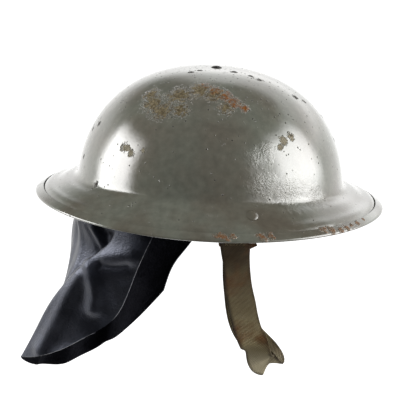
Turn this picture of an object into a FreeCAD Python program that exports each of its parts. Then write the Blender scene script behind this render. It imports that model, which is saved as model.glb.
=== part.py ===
import FreeCAD, Part
import math
import os

from FreeCAD import Placement, Rotation, Vector

# A pressed steel helmet with a flat bowl and a wide drooping brim, its riveted liner,
# a webbing chin strap and an oilcloth neck curtain that hangs at the rear.
# Millimetres. X is forward, Y is to the wearer's left and Z is up. The origin is the middle
# of the rim, where the head goes in. "End" means front or rear, "side" means left or right.

# Shell: plan size at the rim, height, sheet thickness and the bowl inside the brim
RIM_LENGTH = 305.0
RIM_WIDTH = 289.0
RIM_DROOP = 3.8
SHELL_HEIGHT = 115.5
SHEET = 1.2
BOWL_HALF_LENGTH = 117.5
BOWL_HALF_WIDTH = 110.0
BOWL_POWER = 2.3
CROWN_HOLE_R = 2.7

# Brim: how far the even part runs inward, its slopes in degrees, the foot of the wall above it
BRIM_RUN = 30.0
END_EDGE_SLOPE = 30.0
END_INNER_SLOPE = 17.0
SIDE_EDGE_SLOPE = 38.0
SIDE_INNER_SLOPE = 32.0
END_WALL_FOOT = 22.0
SIDE_WALL_FOOT = 27.0
RING_POINTS = 12
BRIM_STEPS = 4
BEND_STEPS = 4
BOWL_STEPS = 9
SKIN_DEGREE = 3

# Folded strip round the rim
STRIP_TOP = 6.2
STRIP_UNDER = 5.0
STRIP_SHEET = 0.7
STRIP_JOINT = 0.5

# Crown screw, nut, washer and rubber cross
SCREW_HEAD_R = 4.8
SCREW_HEAD_H = 1.5
SCREW_SLOT = 1.2
SCREW_SLOT_DEPTH = 0.7
SCREW_R = 2.4
SCREW_END = 91.0
SCREW_POINT_R = 1.9
SCREW_POINT_LENGTH = 3.6
NUT_ACROSS_FLATS = 8.0
NUT_H = 3.4
WASHER_R = 9.0
WASHER_H = 1.0
PAD_ARM = 36.0
PAD_WIDTH = 20.0
PAD_BOTTOM = 104.0
PAD_TOP = 113.6
PAD_CROWN_R = 200.0

# Liner: fibre hoop, cross bands, sweatband and cap
FIBRE = 1.6
HOOP_HALF_LENGTH = 105.0
HOOP_HALF_WIDTH = 88.0
HOOP_BOTTOM = -6.0
HOOP_TOP = 34.0
BAND_WIDTH = 32.0
BAND_FOOT = 11.0
BAND_SPRING = 38.0
BAND_SAG = 0.8
WASHER_SAG = 0.35
RIVET_HEAD_R = 3.6
RIVET_HEAD_H = 1.2
RIVET_SHANK_R = 1.6
RIVET_TAIL = 1.0
RIVET_SPACING = 18.0
SWEAT_GAP = 0.2
SWEAT_SHEET = 1.4
SWEAT_TOP = 40.0
CAP_SHEET = 1.0
CAP_FOOT = 34.0
CAP_TOP = 87.0
CAP_MOUTH_R = 20.0
CAP_STEPS = 6
TONGUES = 8
TONGUE_GAP = 9.0
TONGUE_ROOT_R = 80.0
LACE_R = 1.1
LACE_SIDES = 6
LACE_LOOP_R = 23.0
LACE_Z = 82.8
LACE_HOLE_R = 1.4
LACE_HOLE_FROM_TIP = 5.0
FELT_HALF_LENGTH = 52.0
FELT_HALF_WIDTH = 44.0
FELT_H = 3.0
FELT_BOTTOM = 86.0
FELT_HOLE = (13.0, 11.0)
BUFFERS = (27.0, 63.0, 117.0, 153.0, 207.0, 243.0, 297.0, 333.0)
BUFFER_LENGTH = 30.0
BUFFER_DEPTH = 8.0
BUFFER_BOTTOM = 10.0
BUFFER_HEIGHT = 20.0
BUFFER_CORNER_R = 2.5
BUFFER_BORE = (4.0, 18.0)

# Chin strap lugs: one rivet each, through the brim
LUG_X = 36.5
LUG_INWARD = 23.5
LUG_HEAD_R = 5.4
LUG_HEAD_H = 1.4
LUG_SHANK_R = 2.0
LUG_SHEET = 1.4
LUG_FLANGE = (22.0, 15.0)
LUG_LEG_AT = 6.0
LUG_LEG_LENGTH = 20.0
LUG_LOOP = 37.0
LUG_LOOP_OFFSET = -6.5
LUG_SLOT_HEIGHT = 7.0
LUG_BAR_R = 1.6
LUG_LOOP_FRAME = 3.0
LUG_SHOULDER = 12.0
LUG_CORNER_R = 6.0
LUG_TAIL_R = 3.6
LUG_TAIL_H = 1.3
LUG_SEAT = 0.4

# Chin strap: webbing, with its centreline from the right lug to the left one
WEB_WIDTH = 25.4
WEB_SHEET = 1.8
JOIN_GAP = 0.4
EYE_GAP = 0.15
EYE_CLEAR = 0.6
SLIDE_LENGTH = 18.0
SLIDE_BAR = 2.2
SLIDE_CLEAR = 0.5
SLIDE_SIDE_GAP = 1.2

# Neck curtain: oilcloth-covered leather, a top band on studs and the sheet below it
CURTAIN_SHEET = 1.6
CURTAIN_BAND_BOTTOM = -4.0
CURTAIN_BAND_TOP = 8.0
CURTAIN_NEAR_X = -40.0
CURTAIN_FAR_X = 0.0
CURTAIN_SPLIT = 0.27
STUDS = (103.0, 135.0, 180.0, 212.0, 240.0)
STUD_R = 4.6
STUD_H = 2.2
STUD_SHANK_R = 1.5
BAND_SEAT = 0.1
SPLIT_GAP = 0.003


def slope_profile(rim_half, rim_z, edge_slope, inner_slope):
    """Returns the brim's outer line as a function of the distance inward from the rim."""
    steep = math.tan(math.radians(edge_slope))
    shallow = math.tan(math.radians(inner_slope))

    def at(inward):
        rise = steep * inward - (steep - shallow) * inward**2 / (2 * BRIM_RUN)
        return rim_half - inward, rim_z + rise

    return at


END_BRIM = slope_profile(RIM_LENGTH / 2, 0.0, END_EDGE_SLOPE, END_INNER_SLOPE)
SIDE_BRIM = slope_profile(RIM_WIDTH / 2, -RIM_DROOP, SIDE_EDGE_SLOPE, SIDE_INNER_SLOPE)


def bowl_point(half, height, angle):
    """A point on the bowl's line, a superellipse, at an angle up from its base."""
    power = 2.0 / BOWL_POWER
    return half * math.cos(angle) ** power, height * math.sin(angle) ** power


def shell_line(brim, inner_slope, bowl_half, foot_z):
    """The shell's outer line from the rim to the crown hole, as (half span, height) points."""
    points = [brim(BRIM_RUN * step / BRIM_STEPS) for step in range(BRIM_STEPS + 1)]
    foot_angle = math.asin((foot_z / SHELL_HEIGHT) ** (BOWL_POWER / 2))
    top_angle = math.acos((CROWN_HOLE_R / bowl_half) ** (BOWL_POWER / 2))
    start = points[-1]
    end = bowl_point(bowl_half, SHELL_HEIGHT, foot_angle)
    above = bowl_point(bowl_half, SHELL_HEIGHT, foot_angle + 0.01)
    rise = math.radians(inner_slope)
    reach = (start[0] - end[0]) * 0.75
    lean = (end[0] - above[0]) / (above[1] - end[1])
    handle_a = (start[0] - reach, start[1] + reach * math.tan(rise))
    handle_b = (end[0] + reach * lean, end[1] - reach)
    for step in range(1, BEND_STEPS):
        u = step / BEND_STEPS
        w = ((1 - u) ** 3, 3 * u * (1 - u) ** 2, 3 * u**2 * (1 - u), u**3)
        corners = (start, handle_a, handle_b, end)
        points.append(tuple(sum(k * p[axis] for k, p in zip(w, corners)) for axis in (0, 1)))
    for step in range(BOWL_STEPS + 1):
        angle = foot_angle + (top_angle - foot_angle) * step / BOWL_STEPS
        points.append(bowl_point(bowl_half, SHELL_HEIGHT, angle))
    return points


def moved_inward(points, distance):
    """The same line moved towards the inside of the helmet, square to itself."""
    moved = []
    last = len(points) - 1
    for index, (half, z) in enumerate(points):
        before = points[max(index - 1, 0)]
        after = points[min(index + 1, last)]
        run, rise = after[0] - before[0], after[1] - before[1]
        length = math.hypot(run, rise)
        moved.append((half - distance * rise / length, z + distance * run / length))
    return moved


def ring(end, side):
    """A closed smooth curve round the helmet through an end point and a side point."""
    points = []
    for step in range(RING_POINTS):
        turn = 2 * math.pi * step / RING_POINTS
        across, along = math.sin(turn), math.cos(turn)
        z = end[1] * along**2 + side[1] * across**2
        points.append(Vector(end[0] * along, side[0] * across, z))
    curve = Part.BSplineCurve()
    curve.interpolate(Points=points, PeriodicFlag=True)
    return Part.Wire(curve.toShape())


def closed_solid(faces):
    """One solid from faces that meet at their edges."""
    shell = Part.Shell(faces)
    shell.sewShape()
    solid = Part.Solid(shell)
    if solid.Volume < 0:
        solid.reverse()
    return solid


def skin_solid(outer, inner):
    """A solid between two lists of rings, open at both ends of its outer skin."""
    lofts = [Part.makeLoft(rings, False, False, False, SKIN_DEGREE) for rings in (outer, inner)]
    faces = lofts[0].Faces + lofts[1].Faces
    for index in (0, -1):
        faces.append(Part.makeRuledSurface(outer[index].Edges[0], inner[index].Edges[0]))
    return closed_solid(faces)


def make_shell():
    """The pressed bowl and brim, with the crown hole and the two lug rivet holes."""
    ends = shell_line(END_BRIM, END_INNER_SLOPE, BOWL_HALF_LENGTH, END_WALL_FOOT)
    sides = shell_line(SIDE_BRIM, SIDE_INNER_SLOPE, BOWL_HALF_WIDTH, SIDE_WALL_FOOT)
    outer = [ring(end, side) for end, side in zip(ends, sides)]
    inner_lines = zip(moved_inward(ends, SHEET), moved_inward(sides, SHEET))
    inner = [ring(end, side) for end, side in inner_lines]
    shell = skin_solid(outer, inner)
    hole = Part.makeCylinder(LUG_SHANK_R, 4 * SHEET, Vector(0, 0, -3 * SHEET))
    for side in (-1, 1):
        shell = shell.cut(on_brim(hole, side))
    return shell


def brim_point(turn, inward):
    """A point on the brim's outer skin."""
    end, side = END_BRIM(inward), SIDE_BRIM(inward)
    along, across = math.cos(turn), math.sin(turn)
    z = end[1] * along**2 + side[1] * across**2
    return Vector(end[0] * along, side[0] * across, z)


def lug_frame(side):
    """Where a lug sits: its place on the brim, with Z out of the steel and X forward."""
    turn = side * math.acos(LUG_X / (RIM_LENGTH / 2 - LUG_INWARD))
    here = brim_point(turn, LUG_INWARD)
    forward = brim_point(turn - side * 0.01, LUG_INWARD) - here
    upward = brim_point(turn, LUG_INWARD + 0.5) - here
    out = forward.cross(upward) if side < 0 else upward.cross(forward)
    return here, Rotation(forward, Vector(), out, "ZXY")


def on_brim(shape, side):
    """A shape moved from the origin to the lug's place on one side."""
    here, turn = lug_frame(side)
    placed = shape.copy()
    placed.Placement = Placement(here, turn).multiply(placed.Placement)
    return placed


def make_rim_strip():
    """The thin steel strip folded over the edge of the brim, with its butt joint at the rear."""
    sheet, far = STRIP_SHEET, SHEET + STRIP_SHEET
    outline = (
        (STRIP_TOP, 0.0),
        (STRIP_TOP, sheet),
        (STRIP_TOP / 2, sheet),
        (0.5, sheet),
        (-0.5, sheet / 2),
        (-0.8, -far / 3),
        (-0.5, -SHEET - sheet / 2),
        (0.5, -far),
        (STRIP_UNDER, -far),
        (STRIP_UNDER, -SHEET),
        (0.0, -SHEET),
        (0.0, 0.0),
        (STRIP_TOP / 2, 0.0),
    )
    rings = [ring(off_brim(END_BRIM, *place), off_brim(SIDE_BRIM, *place)) for place in outline]
    faces = []
    for index, edge in enumerate(rings):
        beside = rings[(index + 1) % len(rings)]
        faces.append(Part.makeRuledSurface(edge.Edges[0], beside.Edges[0]))
    strip = closed_solid(faces)
    depth = 6 * STRIP_TOP
    joint = Part.makeBox(depth, STRIP_JOINT, depth)
    joint.translate(Vector(-RIM_LENGTH / 2 - depth / 2, -STRIP_JOINT / 2, -depth / 2))
    return strip.cut(joint)


def off_brim(brim, inward, height):
    """A point at a height above the brim's line, square to it."""
    half, z = brim(inward)
    inner_half, inner_z = brim(inward + 0.1)
    run, rise = half - inner_half, inner_z - z
    length = math.hypot(run, rise)
    return half + height * rise / length, z + height * run / length


def domed_head(radius, height):
    """A shallow dome that sits on the origin's plane."""
    ball_r = (radius**2 + height**2) / (2 * height)
    ball = Part.makeSphere(ball_r, Vector(0, 0, height - ball_r))
    return ball.common(Part.makeCylinder(radius, height))


def make_crown_screw():
    """The domed screw through the crown, slotted above and turned to a plain point below its nut."""
    head = domed_head(SCREW_HEAD_R, SCREW_HEAD_H)
    slot = Part.makeBox(4 * SCREW_HEAD_R, SCREW_SLOT, SCREW_HEAD_H)
    slot.translate(Vector(-2 * SCREW_HEAD_R, -SCREW_SLOT / 2, SCREW_HEAD_H - SCREW_SLOT_DEPTH))
    head = head.cut(slot)
    head.translate(Vector(0, 0, SHELL_HEIGHT))
    point = Part.makeCylinder(SCREW_POINT_R, SCREW_POINT_LENGTH, Vector(0, 0, SCREW_END))
    taper = SCREW_R - SCREW_POINT_R
    taper_at = SCREW_END + SCREW_POINT_LENGTH
    shoulder = Part.makeCone(SCREW_POINT_R, SCREW_R, taper, Vector(0, 0, taper_at))
    length = SHELL_HEIGHT + SCREW_HEAD_H / 4 - taper_at - taper
    shank = Part.makeCylinder(SCREW_R, length, Vector(0, 0, taper_at + taper))
    return head.fuse([shank, shoulder, point]).removeSplitter()


def make_crown_pad():
    """The rubber cross between the liner and the crown, domed to follow the shell."""
    arm = Part.makeBox(2 * PAD_ARM, PAD_WIDTH, PAD_TOP - PAD_BOTTOM + 1)
    arm.translate(Vector(-PAD_ARM, -PAD_WIDTH / 2, PAD_BOTTOM))
    cross = arm.fuse(arm.rotated(Vector(), Vector(0, 0, 1), 90)).removeSplitter()
    dome = Part.makeSphere(PAD_CROWN_R, Vector(0, 0, PAD_TOP - PAD_CROWN_R))
    hole = Part.makeCylinder(SCREW_R, PAD_TOP, Vector())
    return cross.common(dome).cut(hole)


def band_height(order):
    """The top of a cross band at the crown: the fore-and-aft one lies on the edges of the other."""
    return PAD_BOTTOM - order * (FIBRE + BAND_SAG)


def washer_top():
    """The top of the washer, which meets the lower band at its rim."""
    return band_height(1) - FIBRE - WASHER_SAG


def make_cross_band(half_span, order):
    """A fibre strip from the hoop over the crown and down again, in the XZ plane."""
    top = band_height(order)

    def arch(half, height):
        middle = Vector(0, 0, BAND_SPRING)
        oval = Part.Ellipse(Vector(half, 0, BAND_SPRING), Vector(0, 0, height), middle)
        return Part.ArcOfEllipse(oval, 0, math.pi).toShape()

    edges = [arch(half_span + FIBRE, top), arch(half_span, top - FIBRE)]
    for side in (-1, 1):
        out, face = side * (half_span + FIBRE), side * half_span
        corners = ((out, BAND_SPRING), (out, BAND_FOOT), (face, BAND_FOOT), (face, BAND_SPRING))
        edges += Part.makePolygon([Vector(x, 0, z) for x, z in corners]).Edges
    strip = Part.Face(Part.Wire(Part.__sortEdges__(edges)))
    strip.translate(Vector(0, -BAND_WIDTH / 2, 0))
    hole = Part.makeCylinder(SCREW_R, 2 * top)
    return strip.extrude(Vector(0, BAND_WIDTH, 0)).cut(hole)


def ellipse_wall(half_length, half_width, sheet, bottom, top):
    """An upright oval wall of even thickness."""
    outer = Part.Ellipse(Vector(0, 0, bottom), half_length, half_width)
    inner = Part.Ellipse(Vector(0, 0, bottom), half_length - sheet, half_width - sheet)
    height = Vector(0, 0, top - bottom)
    solids = [Part.Face(Part.Wire(e.toShape())).extrude(height) for e in (outer, inner)]
    return solids[0].cut(solids[1])


def hoop_point(turn, height, out=0.0):
    """A point outside the hoop with the rotation that turns X to face out of it."""
    along, across = math.cos(turn), math.sin(turn)
    normal = Vector(along * HOOP_HALF_WIDTH, across * HOOP_HALF_LENGTH, 0).normalize()
    surface = Vector(HOOP_HALF_LENGTH * along, HOOP_HALF_WIDTH * across, height)
    return Placement(surface + normal * out, Rotation(Vector(1, 0, 0), normal))


def make_headband():
    """The fibre hoop round the head."""
    return ellipse_wall(HOOP_HALF_LENGTH, HOOP_HALF_WIDTH, FIBRE, HOOP_BOTTOM, HOOP_TOP)


def make_sweatband():
    """The oilcloth strip inside the hoop."""
    inset = FIBRE + SWEAT_GAP
    length, width = HOOP_HALF_LENGTH - inset, HOOP_HALF_WIDTH - inset
    return ellipse_wall(length, width, SWEAT_SHEET, HOOP_BOTTOM - 2, SWEAT_TOP)


def make_band_rivets():
    """Two small rivets at each foot of the cross bands."""
    height = (BAND_FOOT + HOOP_TOP) / 2
    length = 2 * FIBRE + RIVET_TAIL
    pin = Part.makeCylinder(RIVET_SHANK_R, length, Vector(0, 0, -length))
    rivet = domed_head(RIVET_HEAD_R, RIVET_HEAD_H).fuse(pin)
    rivets = []
    for quarter in range(4):
        turn = math.radians(90 * quarter)
        for offset in (-RIVET_SPACING / 2, RIVET_SPACING / 2):
            placed = rivet.copy()
            outward = Placement(Vector(0, offset, 0), Rotation(Vector(0, 1, 0), 90))
            placed.Placement = hoop_point(turn, height, FIBRE).multiply(outward)
            rivets.append(placed)
    return Part.makeCompound(rivets)


def make_buffers():
    """Hollow rubber blocks that keep the hoop off the shell."""
    blocks = []
    half = BUFFER_LENGTH / 2
    for degrees in BUFFERS:
        outer = Part.makeBox(BUFFER_DEPTH, BUFFER_LENGTH, BUFFER_HEIGHT, Vector(0, -half, 0))
        upright = [e for e in outer.Edges if abs(e.BoundBox.ZLength - BUFFER_HEIGHT) < 0.01]
        corners = [e for e in upright if e.BoundBox.XMin > BUFFER_DEPTH / 2]
        outer = outer.makeFillet(BUFFER_CORNER_R, corners)
        depth, width = BUFFER_BORE
        bore = Part.makeBox(depth, width, BUFFER_HEIGHT)
        bore.translate(Vector((BUFFER_DEPTH - depth) / 2, -width / 2, 0))
        block = outer.cut(bore)
        block.Placement = hoop_point(math.radians(degrees), BUFFER_BOTTOM)
        blocks.append(block)
    return Part.makeCompound(blocks)


def make_cap():
    """The oilcloth cap over the head: tongues that rise from the sweatband to the lace."""
    inset = FIBRE + SWEAT_GAP + SWEAT_SHEET + SWEAT_GAP
    half_length, half_width = HOOP_HALF_LENGTH - inset, HOOP_HALF_WIDTH - inset

    def line(half, top):
        points = []
        last = math.acos(CAP_MOUTH_R / half)
        for step in range(CAP_STEPS + 1):
            angle = last * step / CAP_STEPS
            points.append((half * math.cos(angle), CAP_FOOT + (top - CAP_FOOT) * math.sin(angle)))
        return points

    ends, sides = line(half_length, CAP_TOP), line(half_width, CAP_TOP)
    outer = [ring(*pair) for pair in zip(ends, sides)]
    inner_lines = zip(moved_inward(ends, CAP_SHEET), moved_inward(sides, CAP_SHEET))
    inner = [ring(*pair) for pair in inner_lines]
    cap = skin_solid(outer, inner)
    half_gap = TONGUE_GAP / 2
    corners = (Vector(0, half_gap, 0), Vector(TONGUE_ROOT_R, 0, 0), Vector(0, -half_gap, 0))
    wedge = Part.Face(Part.makePolygon(corners + (corners[0],))).extrude(Vector(0, 0, 2 * CAP_TOP))
    for index in range(TONGUES):
        cap = cap.cut(wedge.rotated(Vector(), Vector(0, 0, 1), 360 * (index + 0.5) / TONGUES))
    hole = Part.makeCylinder(LACE_HOLE_R, 2 * CAP_TOP)
    for index in range(TONGUES):
        turn = 2 * math.pi * index / TONGUES
        place = Vector(math.cos(turn), math.sin(turn), 0) * (CAP_MOUTH_R + LACE_HOLE_FROM_TIP)
        cap = cap.cut(hole.translated(place))
    return cap


def make_lace():
    """The lace that draws the tongues together, a loop under their tips."""
    middle = Vector(LACE_LOOP_R, 0, LACE_Z)
    corners = []
    for step in range(LACE_SIDES + 1):
        turn = 2 * math.pi * step / LACE_SIDES
        corners.append(middle + Vector(math.cos(turn), 0, math.sin(turn)) * LACE_R)
    return Part.Face(Part.makePolygon(corners)).revolve(Vector(), Vector(0, 0, 1), 360)


def make_felt_pad():
    """The felt that lies on the tongues, open under the screw."""
    ovals = [
        Part.Ellipse(Vector(0, 0, FELT_BOTTOM), FELT_HALF_LENGTH, FELT_HALF_WIDTH),
        Part.Ellipse(Vector(0, 0, FELT_BOTTOM), *FELT_HOLE),
    ]
    pad, hole = (Part.Face(Part.Wire(o.toShape())).extrude(Vector(0, 0, FELT_H)) for o in ovals)
    return pad.cut(hole)


def make_lug():
    """A bent plate under the brim, in the rivet's frame: a flange, a leg and a loop with a bar."""
    thick, half_flange = LUG_SHEET, LUG_FLANGE[0] / 2
    under = -SHEET - LUG_SEAT
    flange = Part.makeBox(LUG_FLANGE[0], LUG_FLANGE[1], thick)
    flange.translate(Vector(-half_flange, LUG_LEG_AT + thick - LUG_FLANGE[1], under - thick))
    upright = [e for e in flange.Edges if abs(e.BoundBox.ZLength - thick) < 0.01]
    flange = flange.makeFillet(LUG_CORNER_R, [e for e in upright if e.BoundBox.YMax < 0])
    foot, middle, half = under - LUG_LEG_LENGTH, LUG_LOOP_OFFSET, LUG_LOOP / 2 + LUG_LOOP_FRAME
    corners = [
        Vector(-half_flange, LUG_LEG_AT, under),
        Vector(half_flange, LUG_LEG_AT, under),
        Vector(middle + half, LUG_LEG_AT, foot + LUG_SHOULDER),
        Vector(middle + half, LUG_LEG_AT, foot),
        Vector(middle - half, LUG_LEG_AT, foot),
        Vector(middle - half, LUG_LEG_AT, foot + LUG_SHOULDER),
    ]
    leg = Part.Face(Part.makePolygon(corners + [corners[0]])).extrude(Vector(0, thick, 0))
    slot = Part.makeBox(LUG_LOOP, 3 * thick, LUG_SLOT_HEIGHT)
    slot.translate(Vector(middle - LUG_LOOP / 2, LUG_LEG_AT - thick, foot + LUG_BAR_R))
    bar_end = Vector(middle - half, LUG_LEG_AT + thick / 2, foot)
    bar = Part.makeCylinder(LUG_BAR_R, 2 * half, bar_end, Vector(1, 0, 0))
    hole = Part.makeCylinder(LUG_SHANK_R, 4 * thick, Vector(0, 0, under - 2 * thick))
    return flange.fuse(leg.cut(slot)).fuse(bar).cut(hole).removeSplitter()


def make_lug_rivet():
    """The rivet that holds a lug: a dome above the steel and a small head below the flange."""
    length = SHEET + LUG_SHEET + 2 * LUG_SEAT
    shank = Part.makeCylinder(LUG_SHANK_R, length, Vector(0, 0, -length))
    tail = domed_head(LUG_TAIL_R, LUG_TAIL_H).mirror(Vector(), Vector(0, 0, 1))
    tail.translate(Vector(0, 0, -length))
    return domed_head(LUG_HEAD_R, LUG_HEAD_H).fuse(shank).fuse(tail).removeSplitter()


def bar_place(side):
    """The middle of the webbing on a lug's bar, and the directions along the bar and square to it."""
    here, turn = lug_frame(side)
    foot = -SHEET - LUG_SEAT - LUG_LEG_LENGTH
    slack = (LUG_LOOP - WEB_WIDTH) / 2 - EYE_CLEAR
    inward = -side * (LUG_LEG_AT + LUG_SHEET / 2)
    local = Vector(LUG_LOOP_OFFSET - slack, inward, foot)
    return here + turn.multVec(local), turn.multVec(Vector(1, 0, 0))


# The webbing's centreline from just under the right lug, round the turn at the bottom and up to
# the left lug: place, then the direction across the webbing towards the front.
STRAP_STATIONS = (
    ((25.4, -88.0, -29.0), (0.92, 0.39, 0.0)),
    ((27.0, -77.0, -48.0), (0.87, 0.49, 0.05)),
    ((30.3, -62.0, -70.0), (0.85, 0.52, 0.08)),
    ((34.3, -48.0, -90.0), (0.88, 0.47, 0.04)),
    ((38.6, -34.0, -109.0), (0.88, 0.44, -0.10)),
    ((45.8, -20.0, -126.0), (0.91, 0.25, -0.28)),
    ((52.5, -9.0, -141.0), (0.92, 0.12, -0.38)),
    ((56.0, -4.5, -150.0), (0.92, 0.18, -0.40)),
    ((58.5, 1.0, -154.5), (0.90, 0.16, -0.40)),
    ((60.0, 7.0, -150.5), (0.92, 0.10, -0.40)),
    ((58.5, 12.0, -143.0), (0.94, 0.02, -0.36)),
    ((48.5, 20.0, -133.0), (0.94, -0.05, -0.32)),
    ((37.5, 29.0, -121.0), (0.97, -0.14, -0.14)),
    ((31.5, 38.5, -107.0), (0.97, -0.24, 0.0)),
    ((29.0, 48.0, -93.0), (0.97, -0.26, 0.0)),
    ((24.5, 88.0, -31.0), (0.97, -0.26, 0.0)),
)
SLIDE_BETWEEN = (14, 15)
SLIDE_AT = 0.62


def strap_directions(index):
    """The unit directions along the webbing, across it and square to its face at a station."""
    places = [Vector(*place) for place, _ in STRAP_STATIONS]
    before, after = places[max(index - 1, 0)], places[min(index + 1, len(places) - 1)]
    along = (after - before).normalize()
    across = Vector(*STRAP_STATIONS[index][1])
    across = (across - along * across.dot(along)).normalize()
    return along, across, along.cross(across).normalize()


def web_section(centre, across, square, sheet):
    """A closed rectangle across the webbing."""
    w, t = across * (WEB_WIDTH / 2), square * (sheet / 2)
    corners = [centre - w - t, centre + w - t, centre + w + t, centre - w + t]
    return Part.makePolygon(corners + [corners[0]])


def make_strap():
    """The free webbing between its two sewn ends, with the turn at the bottom."""
    sections = []
    for index, (place, _) in enumerate(STRAP_STATIONS):
        _, across, square = strap_directions(index)
        sections.append(web_section(Vector(*place), across, square, WEB_SHEET))
    return Part.makeLoft(sections, True, True)


def make_strap_end(side):
    """The sewn end: the webbing goes round the lug's bar and lies double down to the free part."""
    index = 0 if side < 0 else len(STRAP_STATIONS) - 1
    bar, bar_line = bar_place(side)
    low = Vector(*STRAP_STATIONS[index][0])
    _, low_across, low_square = strap_directions(index)
    drop = (low - bar).normalize()
    square = drop.cross(bar_line).normalize()
    if square.dot(low_square) < 0:
        low_square = low_square * -1
    clear = LUG_BAR_R + EYE_GAP
    eye = Part.makeCylinder(clear + WEB_SHEET, WEB_WIDTH, bar - bar_line * (WEB_WIDTH / 2), bar_line)
    tail = 2 * WEB_SHEET
    root = bar + drop * (clear + WEB_SHEET * 0.4)
    end = low - drop * JOIN_GAP
    shank = Part.makeLoft(
        [
            web_section(root, bar_line, square, tail),
            web_section((root + end) / 2, (bar_line + low_across).normalize(), square, tail),
            web_section(end, low_across, low_square, WEB_SHEET * 1.2),
        ],
        True,
        True,
    )
    bore = Part.makeCylinder(clear, 2 * WEB_WIDTH, bar - bar_line * WEB_WIDTH, bar_line)
    return eye.fuse(shank).cut(bore).removeSplitter()


def slide_frame():
    """The middle of the slide on the left half of the strap, with its directions."""
    low, high = (Vector(*STRAP_STATIONS[i][0]) for i in SLIDE_BETWEEN)
    along = (high - low).normalize()
    across = sum((Vector(*STRAP_STATIONS[i][1]) for i in SLIDE_BETWEEN), Vector())
    across = (across - along * across.dot(along)).normalize()
    return low + (high - low) * SLIDE_AT, along, across


def make_slide():
    """A flat steel slide round the webbing, with a bar across each face."""
    middle, along, across = slide_frame()
    inner_half = WEB_WIDTH / 2 + SLIDE_SIDE_GAP
    rise = WEB_SHEET / 2 + SLIDE_CLEAR + SLIDE_BAR / 2
    height = 2 * rise + SLIDE_BAR
    side_bar = Part.makeBox(SLIDE_BAR, SLIDE_LENGTH, height)
    corner = Vector(inner_half, -SLIDE_LENGTH / 2, -height / 2)
    frame = side_bar.translated(corner)
    frame = frame.fuse(side_bar.translated(corner - Vector(2 * inner_half + SLIDE_BAR, 0, 0)))
    reach = 2 * (inner_half + SLIDE_BAR)
    ends = SLIDE_LENGTH / 2 - SLIDE_BAR / 2
    for y, z in ((-ends, rise), (0.0, -rise), (ends, rise)):
        bar = Part.makeBox(reach, SLIDE_BAR, SLIDE_BAR)
        frame = frame.fuse(bar.translated(Vector(-reach / 2, y - SLIDE_BAR / 2, z - SLIDE_BAR / 2)))
    frame = frame.removeSplitter()
    frame.Placement = Placement(middle, Rotation(across, along, Vector(), "XYZ"))
    return frame


def smooth_line(points):
    """A smooth line through a few points, as a function from 0 at its start to 1 at its end."""
    curve = Part.BSplineCurve()
    curve.interpolate([Vector(*p) for p in points])
    first, last = curve.FirstParameter, curve.LastParameter
    return lambda v: curve.value(first + v * (last - first))


# The lines down the curtain, from the top band to the hem: the free edge on the right, the ridge
# of the big diagonal fold, the edge of the rear panel, the middle of the back, the left quarter
# and the free edge on the left.
CURTAIN_LINES = (
    (
        (-39.8, -82.8, -4.3), (-47.0, -86.0, -20.0), (-60.0, -76.0, -52.0),
        (-72.0, -62.0, -83.0), (-96.0, -45.0, -118.0),
    ),
    (
        (-72.0, -65.7, -4.3), (-77.0, -71.0, -19.0), (-96.0, -60.0, -47.0),
        (-124.0, -34.0, -87.0), (-161.0, 0.0, -157.0),
    ),
    (
        (-93.0, -43.3, -4.3), (-103.0, -50.0, -17.0), (-104.0, -50.0, -48.0),
        (-126.0, -26.0, -92.0), (-159.0, 5.0, -161.0),
    ),
    (
        (-106.3, 0.0, -4.3), (-117.0, -2.0, -22.0), (-118.5, -2.0, -54.0),
        (-122.0, 0.0, -90.0), (-146.0, 10.0, -168.0),
    ),
    (
        (-75.0, 63.3, -4.3), (-78.0, 64.0, -26.0), (-80.0, 58.0, -60.0),
        (-80.0, 46.0, -96.0), (-86.0, 27.0, -146.0),
    ),
    (
        (0.0, 89.3, -4.3), (-4.0, 87.0, -33.0), (-13.0, 80.0, -60.0),
        (-29.0, 69.0, -82.0), (-37.0, 58.0, -104.0),
    ),
)
# How far down each panel its bow is stated, and how far each panel between two lines bows out
# there; the second panel is the valley beside the ridge.
BOW_LEVELS = (0.0, 0.13, 0.5, 1.0)
CURTAIN_BOWS = (
    (2.5, 2.6, 3.0, 4.0),
    (3.0, -8.0, -1.0, 0.6),
    (6.0, 5.7, 5.0, 1.5),
    (13.0, 12.0, 9.0, 4.0),
    (11.0, 10.0, 7.0, 3.0),
)
# How far the hem hangs lower in the middle of each panel
HEM_DROPS = (6.0, 0.0, 1.0, 7.0, 7.0)
CURTAIN_FALL_LEVELS = 6
CURTAIN_FLEX_LEVELS = 3


def bow_at(bows, v):
    """A panel's bow between its stated levels."""
    for index in range(len(bows) - 1):
        low, high = BOW_LEVELS[index], BOW_LEVELS[index + 1]
        if v <= high:
            break
    return bows[index] + (bows[index + 1] - bows[index]) * (v - low) / (high - low)


def curtain_row(v):
    """The points of one row across the curtain: line, panel middle, line and so on."""
    lines = [smooth_line(points)(v) for points in CURTAIN_LINES]
    row = [lines[0]]
    for left, right, bows, drop in zip(lines, lines[1:], CURTAIN_BOWS, HEM_DROPS):
        chord = right - left
        out = Vector(chord.y, -chord.x, 0).normalize()
        row.append((left + right) / 2 - out * bow_at(bows, v) - Vector(0, 0, drop * v**2))
        row.append(right)
    return row


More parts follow.
